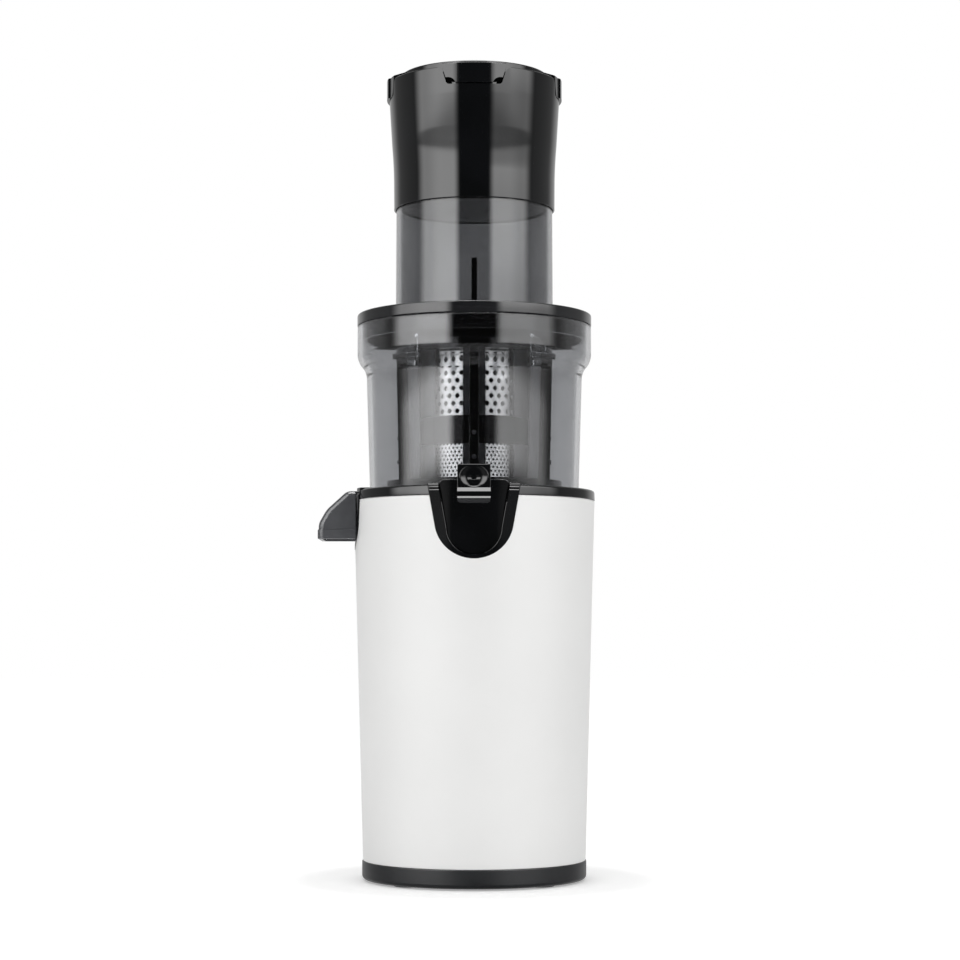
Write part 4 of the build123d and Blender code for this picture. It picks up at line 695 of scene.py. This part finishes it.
thumbLip = drawnOut([
    (-capLook["lipHalf"], capLook["slopeFoot"], 0.6), (-capLook["lipHalf"], capLook["foot"], 2.0),
    (capLook["lipHalf"], capLook["foot"], 2.0), (capLook["lipHalf"], capLook["slopeFoot"], 0.6),
], -capLook["lip"], -capLook["lipBack"])
softenEdges(thumbLip, 0.4, 60, 3, lambda edge: all(vert.co.y < -capLook["lip"] + 0.9 for vert in edge.verts))
finishPiece(thumbLip, "capThumbLip", "cap", "black_matte")

dishRim = spinProfile([(1.0, -capLook["rim"], 0.1), (1.06, 0), (1.0, capLook["rim"], 0.1), (0.94, 0)], steps=96)
turn(dishRim, 90, "X")
stretch(dishRim, capLook["dishHalf"], 1, capLook["dishRise"])
move(dishRim, 0, -capLook["front"] - 0.02, capLook["dishLevel"])
finishPiece(dishRim, "capDishRim", "cap", "black_gloss")

hinge = {"radius": 2.0, "bore": 0.95, "half": 5.6, "edge": 0.3, "y": -73.0, "z": 217.2}
barrel = spinProfile([
    (hinge["bore"], -hinge["half"]), (hinge["radius"], -hinge["half"], hinge["edge"]),
    (hinge["radius"], hinge["half"], hinge["edge"]), (hinge["bore"], hinge["half"]),
], steps=40)
turn(barrel, 90, "Y")
move(barrel, 0, hinge["y"], hinge["z"])
finishPiece(barrel, "capHingeBarrel", "cap", "black_gloss")
print("outlet made")


# bowl

bowlLook = {
    "wall": 2.6, "foot": 56.5, "neck": 58.8, "band": 63.8, "neckTop": 274.7, "bandFoot": 280.3, "bore": 8.5,
    "boss": 11.0, "bossTop": 212.0, "floor": 202.5, "pulpHole": (-31, -19), "pulpHoleHalf": 8,
}
nozzleLook = {"bore": 5.0, "radius": 6.6, "near": 54.2, "reach": 71.0, "level": 211, "edge": 0.4}
inside = bowlLook["wall"]
bowl = spinProfile([
    (bowlLook["bore"], levels["well"]),
    (bowlLook["foot"], levels["well"], 1.2),
    (bowlLook["neck"], bowlLook["neckTop"], 9.4),
    (bowlLook["band"], bowlLook["bandFoot"], 9.4),
    (bowlLook["band"], levels["bowlTop"], 0.6),
    (bowlLook["band"] - inside, levels["bowlTop"], 0.5),
    (bowlLook["band"] - inside, bowlLook["bandFoot"] + 0.9, 7.0),
    (bowlLook["neck"] - inside, bowlLook["neckTop"] + 0.9, 9.0),
    (bowlLook["foot"] - inside, bowlLook["floor"], 1.5),
    (bowlLook["boss"], bowlLook["floor"], 0.8),
    (bowlLook["boss"], bowlLook["bossTop"], 0.4),
    (bowlLook["bore"], bowlLook["bossTop"], 0.4),
], steps=256)
bowl = carved(bowl, [
    brick(bowlLook["pulpHole"], (-bowlLook["pulpHoleHalf"], bowlLook["pulpHoleHalf"]), (198, 203.5)),
    move(turn(peg(nozzleLook["bore"], -12, 12), 90, "X"), 0, -57, nozzleLook["level"]),
])
finishPiece(bowl, "juiceBowl", "bowl_unit", "smoke_clear", ["bowl", "bowl_floor"])

nozzle = spinProfile(section(
    nozzleLook["bore"], nozzleLook["radius"], nozzleLook["near"], nozzleLook["reach"], (nozzleLook["edge"],),
), steps=64)
move(turn(nozzle, 90, "X"), 0, 0, nozzleLook["level"])
finishPiece(nozzle, "juiceNozzle", "bowl_unit", "smoke_clear", ["juice_outlet"])
earLook = {"corners": [(-75, 215.2, 1.9), (-66, 215.2), (-66, 219.2), (-75, 219.2, 1.9)], "half": 0.9, "side": 6.8}
for side, place in ((-1, "Left"), (1, "Right")):
    ear = drawnOut(earLook["corners"], -earLook["half"], earLook["half"])
    move(turn(ear, 90), side * earLook["side"], 0, 0)
    finishPiece(ear, f"hingeEar{place}", "bowl_unit", "smoke_clear")

standLook = {  # what stands on the bowl's floor: ring for the brush, seats for the strainer, pin for the idler gear
    "track": [(42.0, 202.6), (45.0, 202.6), (45.0, 205.2, 0.5), (42.0, 205.2, 0.5)],
    "seat": [(27.0, 202.6), (31.0, 202.6), (31.0, 212.0, 0.6), (27.0, 212.0, 0.6)], "seatWidth": 26,
    "seatAzimuths": (270, 0, 125), "pin": [(0, 202.6), (2.5, 202.6), (2.5, 211.0, 0.5), (0, 211.0)], "pinCircle": 26.0,
}
finishPiece(spinProfile(standLook["track"]), "brushTrack", "bowl_unit", "smoke_clear")
for i, azimuth in enumerate(standLook["seatAzimuths"]):
    seat = spinPart(standLook["seat"], azimuth, standLook["seatWidth"], 12)
    finishPiece(seat, f"strainerSeat{i + 1}", "bowl_unit", "smoke_clear")
pin = move(spinProfile(standLook["pin"], steps=32), standLook["pinCircle"], 0, 0)
finishPiece(turn(pin, 60), "idlerPin", "bowl_unit", "smoke_clear")

bayonet = {  # ledges in the bowl, and hooks that hang from the lid's spigot and reach under them
    "azimuths": (52.0, 128.0, 232.0, 308.0),
    "ledge": [(56.0, 278.0, 0.4), (58.9, 278.0), (58.9, 280.5), (56.0, 280.5, 0.4)], "ledgeWidth": 16,
    "hook": [
        (60.8, 289.3), (60.8, 293.3), (53.2, 293.3), (53.2, 273.6), (56.7, 273.6, 0.6), (56.7, 277.0, 0.5),
        (55.6, 277.4), (55.6, 289.3, 1.0),
    ], "hookWidth": 9,
}
for i, azimuth in enumerate(bayonet["azimuths"]):
    ledge = spinPart(bayonet["ledge"], azimuth, bayonet["ledgeWidth"], 8)
    finishPiece(ledge, f"bayonetLedge{i + 1}", "bowl_unit", "smoke_clear")
print("bowl made")


# lid, feed tube, collar and pusher

lidLook = {
    "radius": 63.95, "edge": 0.9, "bore": 40.2, "spigot": 60.8, "spigotFoot": 291.3, "wall": 2.4, "mouth": 29.5,
    "mouthOuter": 31.9, "mouthFoot": 296.3, "plate": 2.5, "shoulder": 44.7,
}
lid = spinProfile([
    (lidLook["bore"], levels["lidTop"] - 0.8, 0.5),
    (lidLook["bore"] + 1.0, levels["lidTop"]),
    (lidLook["radius"], levels["lidTop"], lidLook["edge"]),
    (lidLook["radius"], levels["lidBase"], 0.4),
    (lidLook["spigot"], levels["lidBase"]),
    (lidLook["spigot"], lidLook["spigotFoot"], 0.5),
    (lidLook["spigot"] - lidLook["wall"], lidLook["spigotFoot"], 0.5),
    (lidLook["spigot"] - lidLook["wall"], levels["lidTop"] - lidLook["plate"], 2.0),
    (lidLook["shoulder"], levels["lidTop"] - lidLook["plate"], 3.0),
    (lidLook["mouthOuter"], lidLook["mouthFoot"], 1.0),
    (lidLook["mouth"], lidLook["mouthFoot"], 0.6),
    (lidLook["mouth"], lidLook["mouthFoot"] + 1.5, 1.0),
], steps=256)
finishPiece(lid, "lidRing", "lid", "smoke_clear", ["hopper"], blackSmoke)
for i, azimuth in enumerate(bayonet["azimuths"]):
    hook = spinPart(bayonet["hook"], azimuth, bayonet["hookWidth"], 6)
    finishPiece(hook, f"bayonetHook{i + 1}", "lid", "smoke_clear")

tubeLook = {"bore": 40.2, "foot": 42.95, "top": 42.7, "gap": 0.05, "root": 0.8, "rootHeight": 1.1}
feedTube = spinProfile([
    (tubeLook["bore"], levels["lidTop"] + tubeLook["gap"]),
    (tubeLook["foot"] + tubeLook["root"], levels["lidTop"] + tubeLook["gap"]),
    (tubeLook["foot"], levels["lidTop"] + tubeLook["rootHeight"], 1.2),
    (tubeLook["top"], levels["chuteTop"], 0.5),
    (tubeLook["bore"], levels["chuteTop"], 0.5),
], steps=256)
finishPiece(feedTube, "feedTube", "lid", "smoke_clear", ["feed_chute"], deepSmoke)

collarLook = {  # a gentle bell with slow curves, stepped inside over the tube's top
    "foot": 44.0, "waist": (44.2, 387.0, 230.0), "shoulder": (46.05, 410.8, 700.0), "top": 47.1, "wall": 2.2,
    "edge": 0.7, "bore": 40.5, "socket": 43.0, "notchHalf": 14.7, "notchTopHalf": 17.6, "notchCorner": 4.8,
}
collar = spinProfile([
    (collarLook["foot"], levels["collarFoot"], 0.3),
    collarLook["waist"],
    collarLook["shoulder"],
    (collarLook["top"], levels["collarTop"], collarLook["edge"]),
    (collarLook["top"] - collarLook["wall"], levels["collarTop"], collarLook["edge"]),
    (collarLook["shoulder"][0] - collarLook["wall"], collarLook["shoulder"][1]),
    (collarLook["waist"][0] - collarLook["wall"], collarLook["waist"][1]),
    (collarLook["bore"], levels["chuteTop"] + 3.0, 0.8),
    (collarLook["bore"], levels["chuteTop"], 0.4),
    (collarLook["socket"], levels["chuteTop"]),
    (collarLook["socket"], levels["collarFoot"], 0.3),
], steps=256)
notchTop = levels["collarTop"] + 0.05
notchRight = [
    (collarLook["notchHalf"], levels["notchFloor"], 2.0),
    (collarLook["notchTopHalf"], notchTop, collarLook["notchCorner"]), (26, notchTop), (26, 450),
]
notchCorners = [mirrored(notchRight[0])] + notchRight + [mirrored(corner) for corner in reversed(notchRight[1:])]
collar = carved(collar, [turn(drawnOut(notchCorners, -60, -30), 90 * i) for i in range(4)])
softenEdges(collar, 0.5, 50, 2, lambda edge: all(
    vert.co.z > levels["notchFloor"] - 0.1 and vert.co.xy.length > collarLook["shoulder"][0] + 0.1
    for vert in edge.verts
))
finishPiece(collar, "feedCollar", "lid", "black_gloss", ["chute_collar"])

pusherLook = {"foot": 38.6, "top": 40.5, "wall": 2.4, "footWall": 2.3, "edge": 0.9}
cup = spinProfile([
    (0, levels["collarFoot"]),
    (pusherLook["foot"], levels["collarFoot"], 1.0),
    (pusherLook["top"], levels["pusherTop"], pusherLook["edge"]),
    (pusherLook["top"] - pusherLook["wall"], levels["pusherTop"], pusherLook["edge"]),
    (pusherLook["foot"] - pusherLook["footWall"], levels["collarFoot"] + pusherLook["wall"], 3.0),
    (0, levels["collarFoot"] + pusherLook["wall"]),
], steps=256)
finishPiece(cup, "pusherCup", "pusher_unit", "black_gloss", ["pusher"])
lipLook = {  # each lip fills its notch flush with the collar, with a raised tab in the middle
    "flush": 47.0, "proud": 48.1, "tab": 9.6, "top": 435.3, "foot": 424.5, "crest": [(39.2, 437.2), (41.0, 437.2, 1.0)],
    "inside": [(45.0, 424.5, 0.4), (45.0, 432.4, 1.5), (39.2, 434.2)], "rim": [(17.0, 433.4), (17.0, 444)],
    "cornersOpen": [(9.6, 424.5), (11.8, 427.8, 4.0), (15.3, 427.9)],
    "cornersFilled": [(14.1, 424.5, 1.0), (15.0, 425.6, 1.0)],
}


def lipBlock(radius, outline):  # wall that fills a notch, with a flat top back to the cup
    face = [(radius, lipLook["top"], 0.35), (radius, lipLook["foot"], 0.4)]
    block = spinPart(lipLook["crest"] + face + lipLook["inside"], -90, 60, 60)
    return carved(block, [drawnOut(outline, -60, -30)], "INTERSECT")


for i in range(4):  # front and back leave the notch's lower corners open
    half = lipLook["cornersFilled" if i % 2 else "cornersOpen"] + lipLook["rim"]
    flush = lipBlock(lipLook["flush"], half + [mirrored(corner) for corner in reversed(half)])
    tabSide = lipLook["tab"] - 0.2
    tab = lipBlock(lipLook["proud"], [(-tabSide, 424), (tabSide, 424), (tabSide, 444), (-tabSide, 444)])
    softenEdges(tab, 0.8, 60, 4, lambda edge: all(
        abs(vert.co.x) > tabSide - 0.3 and vert.co.y < -lipLook["flush"] for vert in edge.verts
    ))
    lip = softenEdges(carved(flush, [tab], "UNION"), 0.25, 50, 2)
    finishPiece(turn(lip, 90 * i), f"pusherLip{i + 1}", "pusher_unit", "black_gloss")
print("feed parts made")


# pulp spout

spoutLook = {  # hood over the saddle; the skirt stands out round its foot, the seat is cut to the housing's curve
    "reach": 84.2, "half": 19.0, "foot": 183.1, "head": 209.1, "near": 58.0, "wall": 2.0, "skirt": 188.2, "proud": 0.5,
    "seat": 66.45, "neck": 13.8, "brow": 68.5, "chin": (79.4, 198.9), "drop": 191.4, "edge": 3.2, "skirtCorner": 3.4,
}


def hoodBlock(inset, foot):  # solid hood, drawn smaller on every side for its hollow
    reach = spoutLook["reach"] - spoutLook["proud"] - inset
    half = spoutLook["half"] - spoutLook["proud"] - inset
    block = drawnOut([
        (-spoutLook["near"] + inset, foot),
        (-spoutLook["near"] + inset, spoutLook["head"] - inset),
        (-spoutLook["brow"], spoutLook["head"] - 0.3 - inset, 5.0),
        (-spoutLook["chin"][0] + inset * 0.7, spoutLook["chin"][1] - inset * 0.7, 12.0),
        (-reach, spoutLook["drop"], 7.0),
        (-reach, foot),
    ], -half, half)
    return softenEdges(block, spoutLook["edge"] - inset, 60, 5, lambda edge: (
        abs(edge.verts[0].co.y - edge.verts[1].co.y) < 0.01
        and max(edge.verts[0].co.z, edge.verts[1].co.z) > foot + 0.1
        and min(edge.verts[0].co.x, edge.verts[1].co.x) < -spoutLook["near"] + inset - 0.1
    ))


skirtHalf = spoutLook["half"]
skirt = raised([
    (-spoutLook["near"], -skirtHalf), (-spoutLook["reach"], -skirtHalf, spoutLook["skirtCorner"]),
    (-spoutLook["reach"], skirtHalf, spoutLook["skirtCorner"]), (-spoutLook["near"], skirtHalf),
], spoutLook["foot"], spoutLook["skirt"])
softenEdges(skirt, 0.4, 60, 2)
hood = carved(hoodBlock(0, spoutLook["foot"] + 0.5), [skirt], "UNION")
seat = peg(spoutLook["seat"], 150, 240, 256)
seat = carved(seat, [brick((-80, 0), (-spoutLook["neck"], spoutLook["neck"]), (140, 250))])
hood = carved(hood, [hoodBlock(spoutLook["wall"], spoutLook["foot"] - 8), seat])
finishPiece(hood, "pulpHood", "bowl_unit", "black_gloss", ["pulp_spout"], hazySmoke)
print("spout made")


# strainer screens

def screenSheet(look):  # staggered round holes: corners of a poked grid are clipped, then wrapped round
    bm = bmesh.new()
    columns, rows = look["columns"] * 2, look["rows"]
    width, height = 2 * pi * look["radius"], look["high"] - look["low"]
    bmesh.ops.create_grid(bm, x_segments=columns, y_segments=rows, size=0.5)
    stretch(bm, width, height, 1)
    across, up = width / columns, height / rows
    bmesh.ops.poke(bm, faces=bm.faces[:])
    centres = []
    for vert in bm.verts:
        i, j = round(vert.co.x / across + columns / 2), round(vert.co.y / up + rows / 2)
        if len(vert.link_edges) == 8 and (i + j) % 2 == 0:
            centres.append(vert)
    bmesh.ops.bevel(
        bm, geom=centres, offset=look["hole"] / 2, offset_type="OFFSET", segments=1, profile=0.5,
        affect="VERTICES", clamp_overlap=False, material=-1,
    )
    bmesh.ops.delete(bm, geom=[face for face in bm.faces if len(face.verts) == 8], context="FACES")
    middle = (look["high"] + look["low"]) / 2
    for vert in bm.verts:
        azimuth = vert.co.x / look["radius"]
        vert.co = (look["radius"] * sin(azimuth), -look["radius"] * cos(azimuth), vert.co.y + middle)
    bmesh.ops.remove_doubles(bm, verts=bm.verts[:], dist=0.001)
    faceOut(bm)
    bmesh.ops.solidify(bm, geom=bm.faces[:], thickness=look["sheet"])
    return bm


coarseLook = {"radius": 27.1, "columns": 37, "rows": 11, "low": 247.2, "high": 292.3, "hole": 2.7, "sheet": 0.5}
fineLook = {"radius": 27.1, "columns": 74, "rows": 10, "low": 215.0, "high": 235.6, "hole": 1.25, "sheet": 0.5}
for name, look, node in (("coarseScreen", coarseLook, "coarse_screen"), ("fineScreen", fineLook, "fine_screen")):
    finishPiece(screenSheet(look), name, "bowl_unit", "screen_steel", [node])
print("screens made")


# ribs of the strainer frame and the brush's posts, shields and wiper blades

ribLook = {"inner": 28.4, "outer": 29.3, "front": 22.5, "side": 86.0, "windows": ((215.6, 233.8), (248.8, 290.3))}
for name, azimuths, width, slotName, material in (
    ("strainerRibs", (90, 270), ribLook["front"], "silicone_smoke", None),
    ("strainerSides", (0, 180), ribLook["side"], "smoke_clear", frosted),
):
    ribs = []
    for low, high in ribLook["windows"]:
        ribSection = section(ribLook["inner"], ribLook["outer"], low, high)
        ribs += [spinPart(ribSection, azimuth, width, 32) for azimuth in azimuths]
    finishPiece(joined(ribs), name, "bowl_unit", slotName, material=material)

brushLook = {  # sections that lean out towards the head, each with its width
    "post": [(34.3, 212.0), (40.95, 212.0), (42.6, 284.4), (36.1, 284.4)], "postHalf": 2.6, "postEdge": 0.5,
    "blade": [(30.1, 215.5), (34.5, 215.5), (36.2, 281.5), (30.1, 281.5)], "bladeHalf": 0.8,
    "shield": [(33.9, 214.3), (35.0, 214.3), (36.9, 283.6), (35.8, 283.6)], "shieldWidth": 24.0, "windowHalf": 56.0,
    "buttons": (225.5, 238.5), "buttonRadius": 1.3, "buttonReach": (33.4, 42.0),
}
near, far = brushLook["buttonReach"]
buttonCorners = [(0, near), (brushLook["buttonRadius"], near), (brushLook["buttonRadius"], far, 0.5), (0, far)]
posts, blades = [], []
for i in range(4):
    post = drawnOut(brushLook["post"], -brushLook["postHalf"], brushLook["postHalf"])
    posts.append(turn(softenEdges(post, brushLook["postEdge"], 60, 3), 90 * i))
    blade = drawnOut(brushLook["blade"], -brushLook["bladeHalf"], brushLook["bladeHalf"])
    buttons = []
    for level in brushLook["buttons"]:
        buttons.append(move(turn(spinProfile(buttonCorners, steps=24), 90, "Y"), 0, 0, level))
    blades.append(turn(joined([softenEdges(blade, 0.25, 60, 2)] + buttons), 90 * i))
finishPiece(joined(posts), "brushPosts", "brush", "black_gloss")
finishPiece(joined(blades), "wiperBlades", "brush", "silicone_smoke", ["wiper_blades"])
for i, middle in enumerate((90, 270)):
    for side in (-1, 1):
        turned = middle + side * (brushLook["windowHalf"] + brushLook["shieldWidth"] / 2)
        shield = spinPart(brushLook["shield"], turned, brushLook["shieldWidth"], 24)
        softenEdges(shield, 0.3, 60, 2)
        finishPiece(shield, f"brushShield{2 * i + (side > 0) + 1}", "brush", "smoke_clear", material=frosted)
print("brush made")


# floor, lights, surroundings and camera

def softLight(name, place, tilt, width, height, power):  # lights dull surfaces only; the world has the reflections
    data = bpy.data.lights.new(name, "AREA")
    data.shape = "RECTANGLE"
    data.size = width
    data.size_y = height
    data.energy = power
    light = addObject(name, data)
    light.location = place
    light.rotation_euler = Euler((radians(tilt), 0, 0))
    light.visible_camera = False
    light.visible_transmission = False
    light.visible_glossy = False


softLight("frontFill", (0, -3.2, 1.4), 78, 3.0, 2.4, 12)
softLight("topFill", (0, -1.2, 2.2), 32, 2.2, 1.6, 6)

floorMesh = bpy.data.meshes.new("studioFloor")
floorShape = bmesh.new()
bmesh.ops.create_grid(floorShape, x_segments=1, y_segments=1, size=6)
floorShape.to_mesh(floorMesh)
floorShape.free()
studioFloor = addObject("studioFloor", floorMesh)
studioFloor.visible_glossy = False
floorPaperPaintedShadow, paperTree, paperPlace = startMaterial("glowPaperPaintedShadow")  # seamless paper that glows nearly white, and glows less near the juicer: a painted shadow round its foot
paperTooth = bump(paperTree, noise(paperTree, paperPlace, 4, 3.0), 0.05, 0.1)
paperReach = addNode(paperTree, "ShaderNodeVectorMath", {"Vector": paperPlace}, operation="LENGTH").outputs["Value"]
# the glow is weaker within about 0.1 m of the middle than further out: a painted shadow under the juicer, not a cast
# one
paperGlowPaintedShadow = addNode(paperTree, "ShaderNodeMapRange", {"Value": paperReach}, {
    "From Min": 0.086, "From Max": 0.112, "To Min": 0.34, "To Max": 0.52,
}, interpolation_type="SMOOTHSTEP")
paperShader = addNode(paperTree, "ShaderNodeBsdfPrincipled", {
    "Normal": paperTooth, "Emission Strength": paperGlowPaintedShadow.outputs["Result"],
}, {
    "Base Color": linearColour("#EDEDED"), "Roughness": 0.9, "Specular IOR Level": 0.0,
    "Emission Color": linearColour("#FFFFFF"),
})
addNode(paperTree, "ShaderNodeOutputMaterial", {"Surface": paperShader.outputs["BSDF"]})
floorMesh.materials.append(floorPaperPaintedShadow)

surroundings = {  # far light, as ranges in degrees from the front or above the horizon, and radiances
    "boxFrom": (19.5, 30), "boxTo": (74, 90), "easeFrom": (48, 74), "eased": 0.7, "boxLow": (0.2, 1.2), "box": 5.2,
    "gapFrom": (2.6, 3.4), "gapTo": (4.8, 6.8), "gap": 0.35, "rightRise": (7.6, 10.5), "rightLow": 0.58,
    "rightHigh": 0.93, "sidesFrom": (70, 95), "behindFrom": (128, 148), "front": 0.03, "sides": 0.30, "behind": 0.65,
    "overhead": 9.0, "dull": 0.58,
}
studio = bpy.data.worlds.new("whiteStudio")
bpy.context.scene.world = studio
studio.use_nodes = True
studio.cycles.sampling_method = "NONE"
sky = studio.node_tree
sky.nodes.clear()


def skyMath(operation, first, second=0.0):
    values = {i: item for i, item in enumerate((first, second)) if isinstance(item, (int, float))}
    links = {i: item for i, item in enumerate((first, second)) if not isinstance(item, (int, float))}
    return addNode(sky, "ShaderNodeMath", links, values, operation=operation).outputs["Value"]


def skyRamp(value, start, end, low=0.0, high=1.0):
    ramp = addNode(sky, "ShaderNodeMapRange", {"Value": value}, {
        "From Min": start, "From Max": end, "To Min": low, "To Max": high,
    }, interpolation_type="SMOOTHSTEP")
    return ramp.outputs["Result"]


def byAzimuth(ends, low=0.0, high=1.0):
    return skyRamp(azimuth, radians(ends[0]), radians(ends[1]), low, high)


def byHeight(ends, low=0.0, high=1.0):
    return skyRamp(along["Z"], sin(radians(ends[0])), sin(radians(ends[1])), low, high)


rays = addNode(sky, "ShaderNodeLightPath").outputs
direction = addNode(sky, "ShaderNodeTexCoord").outputs["Generated"]
along = addNode(sky, "ShaderNodeSeparateXYZ", {"Vector": direction}).outputs
azimuth = skyMath("ABSOLUTE", skyMath("ARCTAN2", along["X"], skyMath("MULTIPLY", along["Y"], -1.0)))
boxAcross = skyMath("MULTIPLY", byAzimuth(surroundings["boxFrom"]), byAzimuth(surroundings["boxTo"], 1.0, 0.0))
boxAcross = skyMath("MULTIPLY", boxAcross, byAzimuth(surroundings["easeFrom"], 1.0, surroundings["eased"]))
boxUp = skyMath("MULTIPLY", byHeight(surroundings["boxLow"], 0.05, 1.0), skyRamp(along["Z"], 0.75, 0.9, 1.0, 0.2))
boxGap = skyMath(  # dimmer stretch where the lower and upper halves of each softbox meet
    "MAXIMUM", byHeight(surroundings["gapFrom"], 1.0, surroundings["gap"]), byHeight(surroundings["gapTo"]),
)
boxUp = skyMath("MULTIPLY", boxUp, boxGap)
rightShare = byHeight(surroundings["rightRise"], surroundings["rightLow"], surroundings["rightHigh"])
boxSide = skyMath("MAXIMUM", rightShare, skyRamp(along["X"], -0.1, 0.1, 1.0, 0.0))
boxPower = skyMath("MULTIPLY", boxSide, surroundings["box"])
boxes = skyMath("MULTIPLY", skyMath("MULTIPLY", boxAcross, boxUp), boxPower)
room = skyMath(
    "ADD", byAzimuth(surroundings["sidesFrom"], surroundings["front"], surroundings["sides"]),
    byAzimuth(surroundings["behindFrom"], 0.0, surroundings["behind"] - surroundings["sides"]),
)
overhead = skyRamp(along["Z"], 0.9, 0.96, 0.0, surroundings["overhead"])
glossy = skyMath("ADD", skyMath("ADD", boxes, room), overhead)
dull = addNode(sky, "ShaderNodeMix", {"Factor": rays["Is Diffuse Ray"], "A": glossy}, {
    "B": surroundings["dull"],
}, data_type="FLOAT")
backdrop = skyMath("MULTIPLY", rays["Is Transmission Ray"], skyRamp(along["Y"], 0.05, 0.3))
clear = skyMath("MAXIMUM", rays["Is Camera Ray"], backdrop)
level = addNode(sky, "ShaderNodeMix", {"Factor": clear, "A": dull.outputs["Result"]}, {"B": 1.0}, data_type="FLOAT")
glow = addNode(sky, "ShaderNodeBackground", {"Strength": level.outputs["Result"]}, {"Color": linearColour("#FFFFFF")})
addNode(sky, "ShaderNodeOutputWorld", {"Surface": glow.outputs["Background"]})

cameraData = bpy.data.cameras.new("studioCamera")
cameraData.lens = 88.95
cameraData.sensor_width = 36
camera = addObject("studioCamera", cameraData)
camera.location = (0.0031, -1.2904, 0.1313)
camera.rotation_euler = Euler((radians(93.75), 0, 0))
bpy.context.scene.camera = camera
bpy.context.scene.view_settings.view_transform = "Standard"
print("studio made")
